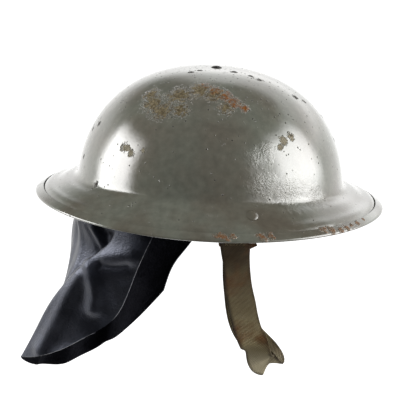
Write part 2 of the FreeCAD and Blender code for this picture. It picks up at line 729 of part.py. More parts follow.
def curtain_section(v):
    """A closed line of arcs round one row, with the sheet's thickness."""
    row = curtain_row(v)
    last = len(row) - 1
    faces = []
    for side in (-0.5, 0.5):
        points = []
        for index, point in enumerate(row):
            chord = row[min(index + 1, last)] - row[max(index - 1, 0)]
            out = Vector(chord.y, -chord.x, 0).normalize()
            points.append(point + out * side * CURTAIN_SHEET)
        arcs = [Part.Arc(*points[i : i + 3]).toShape() for i in range(0, last, 2)]
        faces.append((points, arcs))
    (inner, inner_arcs), (outer, outer_arcs) = faces
    start, end = Part.makeLine(outer[0], inner[0]), Part.makeLine(outer[-1], inner[-1])
    edges = outer_arcs + [end] + inner_arcs[::-1] + [start]
    return Part.Wire(edges), outer_arcs, inner_arcs


def make_curtain(first, last, levels):
    """The part of the curtain between two rows, a loft through lines and arcs."""
    sections = [curtain_section(first + (last - first) * i / (levels - 1)) for i in range(levels)]
    faces = Part.makeLoft([wire for wire, _, _ in sections], False, False).Faces
    for _, outer, inner in (sections[0], sections[-1]):
        faces += [Part.makeRuledSurface(a, b) for a, b in zip(outer, inner)]
    return closed_solid(faces)


def make_curtain_band():
    """The curtain's upper strip, bent round the rear of the hoop."""
    outset = CURTAIN_SHEET + BAND_SEAT
    half_length, half_width = HOOP_HALF_LENGTH + outset, HOOP_HALF_WIDTH + outset
    band = ellipse_wall(half_length, half_width, CURTAIN_SHEET, CURTAIN_BAND_BOTTOM, CURTAIN_BAND_TOP)
    for near_x, corner_y in ((CURTAIN_NEAR_X, -RIM_WIDTH), (CURTAIN_FAR_X, 0.0)):
        front = Part.makeBox(RIM_LENGTH, RIM_WIDTH, RIM_WIDTH)
        band = band.cut(front.translated(Vector(near_x, corner_y, -RIM_WIDTH / 2)))
    return band


def make_curtain_studs():
    """The press studs that hold the curtain's band to the hoop."""
    height = (CURTAIN_BAND_BOTTOM + CURTAIN_BAND_TOP) / 2
    studs = []
    for degrees in STUDS:
        length = FIBRE + CURTAIN_SHEET + 2 * BAND_SEAT
        shank = Part.makeCylinder(STUD_SHANK_R, length, Vector(0, 0, -length))
        stud = domed_head(STUD_R, STUD_H).fuse(shank)
        place = hoop_point(math.radians(degrees), height, CURTAIN_SHEET + 2 * BAND_SEAT)
        stud.Placement = place.multiply(Placement(Vector(), Rotation(Vector(0, 1, 0), 90)))
        studs.append(stud)
    return Part.makeCompound(studs)


def make_washer():
    """The washer under the cross bands."""
    top = washer_top()
    washer = Part.makeCylinder(WASHER_R, WASHER_H, Vector(0, 0, top - WASHER_H))
    return washer.cut(Part.makeCylinder(SCREW_R, 2 * top))


def make_nut():
    """The hexagonal nut on the crown screw."""
    top = washer_top() - WASHER_H
    corner_r = NUT_ACROSS_FLATS / math.sqrt(3)
    corners = []
    for step in range(7):
        turn = math.radians(60 * step)
        corners.append(Vector(corner_r * math.cos(turn), corner_r * math.sin(turn), top - NUT_H))
    nut = Part.Face(Part.makePolygon(corners)).extrude(Vector(0, 0, NUT_H))
    return nut.cut(Part.makeCylinder(SCREW_R, 2 * top))


def build():
    """Every node of the helmet by name."""
    side_band = make_cross_band(HOOP_HALF_WIDTH, 1).rotated(Vector(), Vector(0, 0, 1), 90)
    lug, rivet = make_lug(), make_lug_rivet()
    left_lug = lug.mirror(Vector(), Vector(0, 1, 0))
    return {
        "shell": make_shell(),
        "rim_strip": make_rim_strip(),
        "crown_screw": make_crown_screw(),
        "crown_pad": make_crown_pad(),
        "crown_washer": make_washer(),
        "crown_nut": make_nut(),
        "liner_band_lengthwise": make_cross_band(HOOP_HALF_LENGTH, 0),
        "liner_band_crosswise": side_band,
        "headband": make_headband(),
        "headband_rivets": make_band_rivets(),
        "rubber_buffers": make_buffers(),
        "sweatband": make_sweatband(),
        "head_cap": make_cap(),
        "cap_lace": make_lace(),
        "felt_pad": make_felt_pad(),
        "right_lug": on_brim(lug, -1),
        "left_lug": on_brim(left_lug, 1),
        "right_lug_rivet": on_brim(rivet, -1),
        "left_lug_rivet": on_brim(rivet, 1),
        "right_strap_end": make_strap_end(-1),
        "left_strap_end": make_strap_end(1),
        "chin_strap": make_strap(),
        "strap_slide": make_slide(),
        "curtain_band": make_curtain_band(),
        "curtain_studs": make_curtain_studs(),
        "curtain_flex": make_curtain(0.0, CURTAIN_SPLIT, CURTAIN_FLEX_LEVELS),
        "curtain_fall": make_curtain(CURTAIN_SPLIT + SPLIT_GAP, 1.0, CURTAIN_FALL_LEVELS),
    }


os.makedirs("parts", exist_ok=True)
for name, shape in build().items():
    shape.exportStep(f"parts/{name}.step")
    valid = shape.isValid() and all(solid.isValid() for solid in shape.Solids)
    print(name, "solids", len(shape.Solids), "valid", valid, "volume", round(shape.Volume, 1))
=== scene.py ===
import logging
import math
from dataclasses import dataclass, field
from enum import Enum

import bmesh
import bpy
import numpy as np
from mathutils import Matrix, Vector


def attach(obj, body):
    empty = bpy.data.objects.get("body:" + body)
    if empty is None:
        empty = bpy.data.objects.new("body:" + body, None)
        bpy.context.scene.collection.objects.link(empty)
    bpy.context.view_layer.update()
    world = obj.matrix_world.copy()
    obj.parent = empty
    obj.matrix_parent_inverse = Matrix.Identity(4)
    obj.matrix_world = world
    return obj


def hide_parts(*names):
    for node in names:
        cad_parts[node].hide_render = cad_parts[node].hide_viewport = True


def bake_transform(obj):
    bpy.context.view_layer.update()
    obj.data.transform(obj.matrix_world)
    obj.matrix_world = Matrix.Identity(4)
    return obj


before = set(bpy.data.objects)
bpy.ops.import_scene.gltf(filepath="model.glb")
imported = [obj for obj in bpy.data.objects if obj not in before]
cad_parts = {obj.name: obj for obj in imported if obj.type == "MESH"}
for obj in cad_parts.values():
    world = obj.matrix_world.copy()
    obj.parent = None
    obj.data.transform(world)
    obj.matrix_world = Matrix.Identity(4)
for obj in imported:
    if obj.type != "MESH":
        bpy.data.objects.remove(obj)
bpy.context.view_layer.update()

log = logging.getLogger("brodie_helmet")
MM = 0.001
CREASE = math.radians(50)
Node = bpy.types.Node
Piece = bpy.types.Object


# Small tools for nodes and meshes


def linear(shade: str) -> tuple[float, ...]:
    """The linear colour of an sRGB hex value.

    Args:
        shade: a hash sign and six hex digits.

    Returns:
        Red, green, blue and an alpha of one.
    """
    parts = [int(shade[i : i + 2], 16) / 255 for i in (1, 3, 5)]
    return (*(p / 12.92 if p <= 0.04045 else ((p + 0.055) / 1.055) ** 2.4 for p in parts), 1.0)


def add(tree: bpy.types.NodeTree, kind: str, inputs: dict | None = None, **settings: object) -> Node:
    """Adds a node with its settings and links.

    Args:
        tree: the tree that gets the node.
        kind: the node's type.
        inputs: what goes into each input, by socket name or number: a node, a socket or a value.
        settings: the node's own properties.

    Returns:
        The new node.
    """
    node = tree.nodes.new(kind)
    for key, value in settings.items():
        setattr(node, key, value)
    for key, value in (inputs or {}).items():
        if isinstance(value, Node):
            value = value.outputs[0]
        if isinstance(value, bpy.types.NodeSocket):
            tree.links.new(value, node.inputs[key])
        else:
            node.inputs[key].default_value = linear(value) if isinstance(value, str) else value
    return node


def spline(knots: np.ndarray, values: np.ndarray, at: np.ndarray) -> np.ndarray:
    """A natural cubic spline.

    Args:
        knots: rising parameters, one for each row of values.
        values: what the spline passes through, one row for each knot.
        at: the parameters to read it at.

    Returns:
        One row for each parameter.
    """
    gaps = np.diff(knots)
    slopes = np.diff(values, axis=0) / gaps[:, None]
    system, right = np.eye(len(knots)), np.zeros_like(values)
    for i in range(1, len(knots) - 1):
        system[i, i - 1 : i + 2] = gaps[i - 1], 2 * (gaps[i - 1] + gaps[i]), gaps[i]
        right[i] = 6 * (slopes[i] - slopes[i - 1])
    bend = np.linalg.solve(system, right)
    i = np.clip(np.searchsorted(knots, at, side="right") - 1, 0, len(knots) - 2)
    gap = gaps[i][:, None]
    a, b = (knots[i + 1] - at)[:, None] / gap, (at - knots[i])[:, None] / gap
    curve = (a**3 - a) * bend[i] + (b**3 - b) * bend[i + 1]
    return a * values[i] + b * values[i + 1] + curve * gap**2 / 6


def lengths(points: np.ndarray) -> np.ndarray:
    """How far along a line of points each of them lies."""
    steps = np.linalg.norm(np.diff(points, axis=0), axis=1)
    return np.concatenate([[0.0], np.cumsum(steps)])


def unit(vectors: np.ndarray) -> np.ndarray:
    """The same vectors with a length of one."""
    size = np.linalg.norm(vectors, axis=-1, keepdims=True)
    return vectors / np.where(size > 0, size, 1.0)


def wobble(turns: np.ndarray, seed: int, waves: int = 9) -> np.ndarray:
    """A smooth random line between about -1 and 1 that closes on itself.

    Args:
        turns: where to read it, with a period of one.
        seed: the fixed seed of its waves.
        waves: how many waves it has.

    Returns:
        One value for each turn.
    """
    draw = np.random.default_rng(seed)
    total = np.zeros_like(turns)
    for wave in range(1, waves + 1):
        total += np.sin(2 * np.pi * (wave * turns + draw.random())) * draw.random() / wave**0.5
    return total / waves**0.5


def mesh_piece(name: str, points: np.ndarray, faces: list, loop_uvs: list | None = None) -> Piece:
    """A smooth-shaded mesh piece with outward normals.

    Args:
        name: the piece's name.
        points: its corners in millimetres.
        faces: its faces as corner numbers.
        loop_uvs: one pair in metres for each corner of each face, in order.

    Returns:
        The piece, at the origin.
    """
    mesh = bpy.data.meshes.new(name)
    mesh.from_pydata((np.asarray(points).reshape(-1, 3) * MM).tolist(), [], faces)
    if loop_uvs is not None:
        layer = mesh.uv_layers.new(name="UVMap")
        layer.data.foreach_set("uv", np.asarray(loop_uvs, dtype=float).ravel())
    work = bmesh.new()
    work.from_mesh(mesh)
    bmesh.ops.recalc_face_normals(work, faces=work.faces)
    work.to_mesh(mesh)
    work.free()
    mesh.shade_smooth()
    mesh.set_sharp_from_angle(angle=CREASE)
    piece = bpy.data.objects.new(name, mesh)
    bpy.context.scene.collection.objects.link(piece)
    return piece


def swept(name: str, rings: np.ndarray, closed: bool = False) -> Piece:
    """A skin over a row of rings, with its UVs in metres along and round it.

    Args:
        name: the piece's name.
        rings: points by ring and by place on the ring, in millimetres.
        closed: whether the last ring joins the first; otherwise both ends get a cap.

    Returns:
        The closed piece.
    """
    count, around = rings.shape[:2]
    looped = np.concatenate([rings, rings[:1]]) if closed else rings
    along = lengths(looped.mean(axis=1)) * MM
    girth = lengths(np.concatenate([rings[0], rings[0][:1]])) * MM
    faces, uvs = [], []
    for i in range(len(looped) - 1):
        a, b = i * around, (i + 1) % count * around
        for j in range(around):
            k = (j + 1) % around
            faces.append((a + j, a + k, b + k, b + j))
            uvs += [(along[i], girth[j]), (along[i], girth[j + 1])]
            uvs += [(along[i + 1], girth[j + 1]), (along[i + 1], girth[j])]
    if not closed:
        for ring, place in ((0, 0), (count - 1, -1)):
            faces.append(tuple(ring * around + j for j in range(around)))
            uvs += [(along[place], girth[j]) for j in range(around)]
    return mesh_piece(name, rings, faces, uvs)


def sheeting(name: str, middle: np.ndarray, sheet: float, ring: bool = False) -> Piece:
    """A sheet of even thickness with rounded edges over a grid of points.

    Args:
        name: the piece's name.
        middle: its middle surface by row and column, in millimetres.
        sheet: its thickness in millimetres.
        ring: whether its last column joins its first.

    Returns:
        The closed piece, with UVs in metres, a "rim" attribute that is 1 on its edges and a
        "back" attribute that is 1 on its second face.
    """
    rows, columns = middle.shape[:2]
    padded = np.concatenate([middle[:, -1:], middle, middle[:, :1]], axis=1) if ring else middle
    across = np.gradient(padded, axis=1)
    across = across[:, 1:-1] if ring else across
    normal = unit(np.cross(across, np.gradient(middle, axis=0)))
    outward = np.zeros_like(middle)
    outward[0] += unit(middle[0] - middle[1])
    outward[-1] += unit(middle[-1] - middle[-2])
    if not ring:
        outward[:, 0] += unit(middle[:, 0] - middle[:, 1])
        outward[:, -1] += unit(middle[:, -1] - middle[:, -2])
    faces_out = middle + normal * sheet / 2
    faces_in = middle - normal * sheet / 2
    roundness = 0.35
    rim = middle + outward * sheet * roundness
    points = np.concatenate([faces_out, faces_in, rim]).reshape(-1, 3)
    size = rows * columns
    u = lengths(middle[rows // 2]) * MM
    v = lengths(middle[:, columns // 2]) * MM
    if ring:
        u = np.append(u, u[-1] + u[1])
    faces, uvs = [], []
    for i in range(rows - 1):
        for j in range(columns if ring else columns - 1):
            k = (j + 1) % columns
            quad = (i * columns + j, i * columns + k, (i + 1) * columns + k, (i + 1) * columns + j)
            corners = [(u[j], v[i]), (u[j + 1], v[i]), (u[j + 1], v[i + 1]), (u[j], v[i + 1])]
            faces += [quad, tuple(size + c for c in quad[::-1])]
            uvs += corners + corners[::-1]
    top = [(0, j) for j in range(columns)]
    bottom = [(rows - 1, j) for j in range(columns)]
    if ring:
        loops = [top, bottom]
    else:
        right = [(i, columns - 1) for i in range(1, rows - 1)]
        left = [(i, 0) for i in range(rows - 2, 0, -1)]
        loops = [top + right + bottom[::-1] + left]
    for loop in loops:
        for (i, j), (m, n) in zip(loop, loop[1:] + loop[:1]):
            a, b = i * columns + j, m * columns + n
            near, far = (u[j], v[i]), (u[n], v[m])
            faces += [(a, b, 2 * size + b, 2 * size + a)]
            faces += [(2 * size + a, 2 * size + b, size + b, size + a)]
            uvs += [near, far, far, near] * 2
    used = np.unique(np.concatenate([np.asarray(face) for face in faces]))
    place = np.full(len(points), -1)
    place[used] = np.arange(len(used))
    piece = mesh_piece(name, points[used], [tuple(place[list(face)]) for face in faces], uvs)
    for label, start in (("rim", 2 * size), ("back", size)):
        mark = piece.data.attributes.new(label, "FLOAT", "POINT")
        chosen = (used >= start) & ((used < 2 * size) | (label == "rim"))
        mark.data.foreach_set("value", chosen.astype(float))
    return piece


def plain(piece: Piece, name: str) -> Piece:
    """Turns what a piece's modifiers make into a plain mesh piece and removes the old one.

    Args:
        piece: the piece with live modifiers.
        name: the name of the plain one.

    Returns:
        The plain piece.
    """
    graph = bpy.context.evaluated_depsgraph_get()
    mesh = bpy.data.meshes.new_from_object(
        piece.evaluated_get(graph), preserve_all_data_layers=True, depsgraph=graph
    )
    mesh.name = name
    bpy.data.objects.remove(piece)
    done = bpy.data.objects.new(name, mesh)
    bpy.context.scene.collection.objects.link(done)
    return done


# Finishes


@dataclass(frozen=True)
class Finish:
    """A surface finish, whose material is built once."""

    name: str = "finish"

    def surface(self, tree: bpy.types.NodeTree) -> Node:
        """The node that shades the surface.

        Args:
            tree: the material's tree.

        Returns:
            The shader.
        """
        raise NotImplementedError

    def material(self) -> bpy.types.Material:
        """The material, built on first use."""
        known = bpy.data.materials.get(self.name)
        if known:
            return known
        made = bpy.data.materials.new(self.name)
        made.use_nodes = True
        tree = made.node_tree
        tree.nodes.clear()
        add(tree, "ShaderNodeOutputMaterial", {"Surface": self.surface(tree)})
        return made

    def dress(self, *pieces: Piece) -> None:
        """Gives pieces this finish and no other."""
        for piece in pieces:
            piece.data.materials.clear()
            piece.data.materials.append(self.material())


def blot(
    tree: bpy.types.NodeTree, place: bpy.types.NodeSocket, spots: tuple, ragged: Node,
    bite: float, soft: float = 0.26,
) -> Node:
    """A mask of round spots that run together and break up towards their edges.

    Args:
        tree: the material's tree.
        place: the coordinates in metres.
        spots: the middle and radius of each spot in millimetres.
        ragged: the noise that breaks the spots up.
        bite: how strongly it does.
        soft: how slowly the mask rises at its border, where 0 would be a hard edge.

    Returns:
        A node whose value is 1 inside and 0 outside.
    """
    core, reach, threshold = 0.1, 1.35, 0.36
    whole = None
    for x, y, z, radius in spots:
        middle = (x * MM, y * MM, z * MM)
        far = add(tree, "ShaderNodeVectorMath", {0: place, 1: middle}, operation="DISTANCE")
        near = add(
            tree, "ShaderNodeMapRange",
            {
                "Value": far.outputs["Value"],
                "From Min": radius * MM * reach, "From Max": radius * MM * core,
            },
        )
        whole = near if whole is None else add(
            tree, "ShaderNodeMath", {0: whole, 1: near}, operation="MAXIMUM"
        )
    eaten = add(
        tree, "ShaderNodeMath", {0: ragged, 1: bite, 2: -bite / 2}, operation="MULTIPLY_ADD"
    )
    inside = add(tree, "ShaderNodeMath", {0: whole, 1: 0.02}, operation="GREATER_THAN")
    total = add(tree, "ShaderNodeMath", {0: whole, 1: eaten}, operation="ADD")
    total = add(tree, "ShaderNodeMath", {0: total, 1: inside}, operation="MULTIPLY")
    return add(
        tree, "ShaderNodeMapRange",
        {"Value": total, "From Min": threshold, "From Max": threshold + soft},
    )


@dataclass(frozen=True)
class OlivePaint(Finish):
    """Brushed oil paint on pressed steel: semi-gloss olive grey, rubbed, pitted and rusty.

    Each mark in the paint is a row of spots, with the middle and radius of each in millimetres.
    """

    name: str = "olive_oil_paint_on_steel"
    olive: str = "#6b6d62"
    brown: str = "#686459"
    bare: tuple = ("#6c6248", "#a0937a", "#44382a")
    rust: tuple = ("#744310", "#a05a14")
    steel: str = "#2c2823"
    undercoat: str = "#857e6c"
    smears: str = "#4a4032"
    crown_patch: tuple = (
        (-55, -45, 97, 9), (-52, -56, 92, 12), (-44, -66, 87, 12), (-30, -57, 100, 13),
        (-28, -72, 90, 9), (-13, -53, 105, 12), (0, -58, 103, 12), (10, -70, 93, 9),
    )
    rust_streak: tuple = (
        (-9, -47, 108, 5), (0, -54, 105, 7), (9, -60, 102, 8), (17, -65, 98, 8), (26, -68, 94, 6),
    )
    chips: tuple = (
        (-111, -24, 35, 2.5), (-105, -17, 58, 2.5), (-99, -25, 65, 3),
        (95, 3, 77, 3), (106, -3, 58, 3), (-99, -62, 20, 4), (38, -20, 112, 4), (30, -16, 113, 3),
        (-14, -14, 115, 3), (-22, -18, 114, 3), (15, -12, 115, 4), (70, -20, 98, 4), (78, -14, 93, 3),
    )
    primer: tuple = (
        (-75, -73, 56, 4.5), (-71, -75, 55, 3.5), (-68, -79, 52, 4), (-58, -84, 56, 2.5),
        (60, -75, 69, 5), (66, -68, 72, 4.5), (57, -79, 64, 3.5),
    )
    pitted: tuple = (
        (38, -94, 57, 15), (46, -89, 63, 12), (44, -99, 35, 18), (68, -88, 25, 22), (90, -71, 19, 16),
    )
    rim_rust: tuple = (
        (8, -139, -1, 4), (14, -140, -1, 5), (20, -140, -1, 4), (46, -134, -1, 5),
        (52, -131, -1, 4), (98, -104, -1, 5), (104, -100, 0, 6), (110, -95, 0, 5),
        (116, -89, 1, 4), (121, -82, 1, 3), (127, -75, 2, 3), (133, -64, 3, 2.5),
    )

    def noises(self, tree: bpy.types.NodeTree, place: bpy.types.NodeSocket) -> dict[str, Node]:
        """The noises that the marks and the relief share.

        Args:
            tree: the material's tree.
            place: the coordinates in metres.

        Returns:
            Broad clouds, the mottle of brushed paint at about 6 mm, grit, orange peel with waves
            of about 2.5 mm, and the flakes of 1 to 3 mm in which paint breaks up.
        """
        grains = {
            "broad": {"Scale": 22.0, "Detail": 4.0},
            "mottle": {"Scale": 160.0, "Detail": 5.0},
            "grit": {"Scale": 520.0, "Detail": 3.0, "Roughness": 0.7},
            "peel": {"Scale": 380.0, "Detail": 1.0},
            "flakes": {"Scale": 330.0, "Detail": 6.0, "Roughness": 0.75},
        }
        return {
            kind: add(tree, "ShaderNodeTexNoise", {"Vector": place, **values})
            for kind, values in grains.items()
        }

    def dots(
        self, tree: bpy.types.NodeTree, place: bpy.types.NodeSocket, height: bpy.types.NodeSocket,
        mottle: Node,
    ) -> Node:
        """A mask of small round chips, most of them near the crown, where the helmet is set down.

        Args:
            tree: the material's tree.
            place: the coordinates in metres.
            height: how high the place is.
            mottle: the noise that chooses where chips lie.

        Returns:
            A node whose value is 1 in a chip.
        """
        cells = add(
            tree, "ShaderNodeTexVoronoi", {"Vector": place, "Scale": 240.0, "Randomness": 1.0}
        )
        dot = add(
            tree, "ShaderNodeMapRange",
            {"Value": cells.outputs["Distance"], "From Min": 0.2, "From Max": 0.12},
        )
        crown = add(
            tree, "ShaderNodeMapRange",
            {"Value": height, "From Min": 0.05, "From Max": 0.115, "To Max": 0.12},
        )
        rare = add(tree, "ShaderNodeMath", {0: mottle, 1: crown}, operation="ADD")
        rare = add(tree, "ShaderNodeMapRange", {"Value": rare, "From Min": 0.55, "From Max": 0.62})
        return add(tree, "ShaderNodeMath", {0: dot, 1: rare}, operation="MULTIPLY")

    def brushed(self, tree: bpy.types.NodeTree, noise: dict[str, Node]) -> Node:
        """The paint's own colour: olive with brown clouds, brushed lighter and darker.

        Args:
            tree: the material's tree.
            noise: the shared noises by name.

        Returns:
            The node that gives the colour.
        """
        tone = add(
            tree, "ShaderNodeMapRange", {"Value": noise["broad"], "From Min": 0.38, "From Max": 0.66}
        )
        colour = add(
            tree, "ShaderNodeMixRGB", {"Fac": tone, "Color1": self.olive, "Color2": self.brown}
        )
        shade = add(
            tree, "ShaderNodeMapRange",
            {
                "Value": noise["mottle"], "From Min": 0.3, "From Max": 0.7,
                "To Min": 0.86, "To Max": 1.12,
            },
        )
        return add(tree, "ShaderNodeVectorMath", {0: colour, "Scale": shade}, operation="SCALE")

    def marked(
        self, tree: bpy.types.NodeTree, noise: dict[str, Node], marks: dict[str, Node],
        height: bpy.types.NodeSocket,
    ) -> Node:
        """The paint's colour with its marks laid over it one after another.

        Args:
            tree: the material's tree.
            noise: the shared noises by name.
            marks: the masks of the marks by name.
            height: how high the place is.

        Returns:
            The node that gives the colour.
        """
        speck = add(
            tree, "ShaderNodeMapRange",
            {"Value": noise["grit"], "From Min": 0.54, "From Max": 0.68, "To Max": 0.7},
        )
        hollow = add(
            tree, "ShaderNodeMapRange",
            {"Value": noise["grit"], "From Min": 0.5, "From Max": 0.42, "To Max": 0.85},
        )
        flat, pale, deep = self.bare
        patch = add(tree, "ShaderNodeMixRGB", {"Fac": speck, "Color1": flat, "Color2": pale})
        patch = add(tree, "ShaderNodeMixRGB", {"Fac": hollow, "Color1": patch, "Color2": deep})
        brown, orange = self.rust
        rust = add(tree, "ShaderNodeMixRGB", {"Fac": speck, "Color1": brown, "Color2": orange})
        bloom = add(
            tree, "ShaderNodeMapRange",
            {
                "Value": noise["flakes"], "From Min": 0.42, "From Max": 0.58,
                "To Min": 0.15, "To Max": 1.0,
            },
        )
        layers = [(marks["worn"], patch)]
        for mark, strength in (("streak", 1.0), ("rim", 0.75)):
            share = add(tree, "ShaderNodeMath", {0: marks[mark], 1: strength}, operation="MULTIPLY")
            share = add(tree, "ShaderNodeMath", {0: share, 1: bloom}, operation="MULTIPLY")
            layers.append((share, rust))
        # Handling leaves brown smears on the brim
        brim = add(
            tree, "ShaderNodeMapRange", {"Value": height, "From Min": 0.03, "From Max": 0.008}
        )
        cloud = add(
            tree, "ShaderNodeMapRange",
            {"Value": noise["broad"], "From Min": 0.42, "From Max": 0.66, "To Max": 0.4},
        )
        smear = add(tree, "ShaderNodeMath", {0: brim, 1: cloud}, operation="MULTIPLY")
        layers += [
            (marks["chips"], self.steel), (marks["primer"], self.undercoat),
            (marks["dots"], self.steel), (smear, self.smears),
        ]
        colour = self.brushed(tree, noise)
        for share, layer in layers:
            colour = add(
                tree, "ShaderNodeMixRGB", {"Fac": share, "Color1": colour, "Color2": layer}
            )
        return colour

    def surface(self, tree: bpy.types.NodeTree) -> Node:
        """Paint over steel. The eye sees a dark olive grey with sharp reflections, a faint orange
        peel, a rubbed and speckled crown, rust runs and chips down to dark metal.

        Args:
            tree: the material's tree.

        Returns:
            The shader.
        """
        place = add(tree, "ShaderNodeTexCoord").outputs["Object"]
        height = add(tree, "ShaderNodeSeparateXYZ", {0: place}).outputs["Z"]
        noise = self.noises(tree, place)
        flakes, mottle = noise["flakes"], noise["mottle"]
        marks = {
            "worn": blot(tree, place, self.crown_patch, flakes, 2.6, 0.36),
            "streak": blot(tree, place, self.rust_streak, flakes, 2.0, 0.6),
            "chips": blot(tree, place, self.chips, flakes, 1.8),
            "primer": blot(tree, place, self.primer, flakes, 2.4),
            "rim": blot(tree, place, self.rim_rust, mottle, 2.6),
            "dots": self.dots(tree, place, height, mottle),
        }
        pits = blot(tree, place, self.pitted, mottle, 0.8, 0.9)
        colour = self.marked(tree, noise, marks, height)

        # Every mark is dull, and dullness takes away the gloss
        dull = marks["worn"]
        for mark in ("streak", "chips", "primer", "rim", "dots"):
            dull = add(tree, "ShaderNodeMath", {0: dull, 1: marks[mark]}, operation="MAXIMUM")
        rough = add(
            tree, "ShaderNodeMapRange", {"Value": dull, "To Min": 0.15, "To Max": 0.6}
        )
        rough = add(
            tree, "ShaderNodeMath", {0: pits, 1: 0.03, 2: rough}, operation="MULTIPLY_ADD"
        )
        shine = add(
            tree, "ShaderNodeMapRange", {"Value": dull, "To Min": 0.75, "To Max": 0.25}
        )
        coat = add(tree, "ShaderNodeMapRange", {"Value": dull, "To Min": 0.3, "To Max": 0.0})
        fine = add(
            tree, "ShaderNodeBump",
            {"Height": noise["peel"], "Strength": 0.5, "Distance": 0.00006},
        )
        deep = add(tree, "ShaderNodeMath", {0: dull, 1: pits}, operation="MAXIMUM")
        relief = add(tree, "ShaderNodeMath", {0: deep, 1: noise["grit"]}, operation="MULTIPLY")
        coarse = add(
            tree, "ShaderNodeBump",
            {"Height": relief, "Strength": 0.9, "Distance": 0.0011, "Normal": fine},
        )
        return add(
            tree, "ShaderNodeBsdfPrincipled",
            {
                "Base Color": colour, "Roughness": rough, "Specular IOR Level": shine,
                "Coat Weight": coat, "Coat Roughness": 0.1, "Coat Normal": fine, "Normal": coarse,
            },
        )


@dataclass(frozen=True)
class Metal(Finish):
    """Steel or brass with its tarnish.

    Attributes:
        clean: the metal's bright colour.
        tarnish: the colour of its darker places.
        roughness: the middle of its range.
        metallic: 1 for bare metal, less where a dark skin covers it.
    """

    name: str = "dull_steel"
    clean: str = "#8d8b86"
    tarnish: str = "#5a554c"
    roughness: float = 0.42
    metallic: float = 1.0

    def surface(self, tree: bpy.types.NodeTree) -> Node:
        """Handled metal: the eye sees soft highlights broken by darker tarnish.

        Args:
            tree: the material's tree.

        Returns:
            The shader.
        """
        place = add(tree, "ShaderNodeTexCoord").outputs["Object"]
        cloud = add(tree, "ShaderNodeTexNoise", {"Vector": place, "Scale": 420.0, "Detail": 6.0})
        share = add(tree, "ShaderNodeMapRange", {"Value": cloud, "From Min": 0.35, "From Max": 0.65})
        colour = add(
            tree, "ShaderNodeMixRGB", {"Fac": share, "Color1": self.clean, "Color2": self.tarnish}
        )
        rough = add(
            tree, "ShaderNodeMapRange",
            {"Value": cloud, "To Min": self.roughness - 0.12, "To Max": self.roughness + 0.2},
        )
        bump = add(
            tree, "ShaderNodeBump", {"Height": cloud, "Strength": 0.4, "Distance": 0.0001}
        )
        return add(
            tree, "ShaderNodeBsdfPrincipled",
            {"Base Color": colour, "Metallic": self.metallic, "Roughness": rough, "Normal": bump},
        )


@dataclass(frozen=True)
class Rubber(Finish):
    """Moulded rubber that has aged."""

    name: str = "aged_moulded_rubber"
    black: str = "#24211e"
    pale: str = "#4b463f"

    def surface(self, tree: bpy.types.NodeTree) -> Node:
        """Old rubber: the eye sees a matte brownish black with a pale bloom in patches.

        Args:
            tree: the material's tree.

        Returns:
            The shader.
        """
        place = add(tree, "ShaderNodeTexCoord").outputs["Object"]
        bloom = add(tree, "ShaderNodeTexNoise", {"Vector": place, "Scale": 90.0, "Detail": 8.0})
        share = add(tree, "ShaderNodeMapRange", {"Value": bloom, "From Min": 0.4, "From Max": 0.75})
        colour = add(
            tree, "ShaderNodeMixRGB", {"Fac": share, "Color1": self.black, "Color2": self.pale}
        )
        bump = add(tree, "ShaderNodeBump", {"Height": bloom, "Strength": 0.4, "Distance": 0.0002})
        return add(
            tree, "ShaderNodeBsdfPrincipled",
            {"Base Color": colour, "Roughness": 0.75, "Normal": bump},
        )


@dataclass(frozen=True)
class VulcanFibre(Finish):
    """Pressed and varnished fibre board."""

    name: str = "vulcanised_fibre"
    board: str = "#5d3822"
    fibre: str = "#86583a"
    handled: str = "#3a2417"

    def surface(self, tree: bpy.types.NodeTree) -> Node:
        """Vulcanised fibre: the eye sees a reddish brown board with faint long fibres and a low
        sheen, darker where it has been handled.

        Args:
            tree: the material's tree.

        Returns:
            The shader.
        """
        place = add(tree, "ShaderNodeTexCoord").outputs["Object"]
        # Fibres are about 1 mm wide and ten times as long, drawn coarse enough to show
        stretch = add(tree, "ShaderNodeMapping", {"Vector": place, "Scale": (1.0, 1.0, 9.0)})
        fibres = add(tree, "ShaderNodeTexNoise", {"Vector": stretch, "Scale": 110.0, "Detail": 6.0})
        stain = add(tree, "ShaderNodeTexNoise", {"Vector": place, "Scale": 30.0, "Detail": 3.0})
        colour = add(
            tree, "ShaderNodeMixRGB", {"Fac": fibres, "Color1": self.board, "Color2": self.fibre}
        )
        share = add(tree, "ShaderNodeMapRange", {"Value": stain, "From Min": 0.45, "From Max": 0.7})
        colour = add(
            tree, "ShaderNodeMixRGB", {"Fac": share, "Color1": colour, "Color2": self.handled}
        )
        bump = add(tree, "ShaderNodeBump", {"Height": fibres, "Strength": 0.3, "Distance": 0.0002})
        return add(
            tree, "ShaderNodeBsdfPrincipled",
            {"Base Color": colour, "Roughness": 0.48, "Coat Weight": 0.2, "Normal": bump},
        )


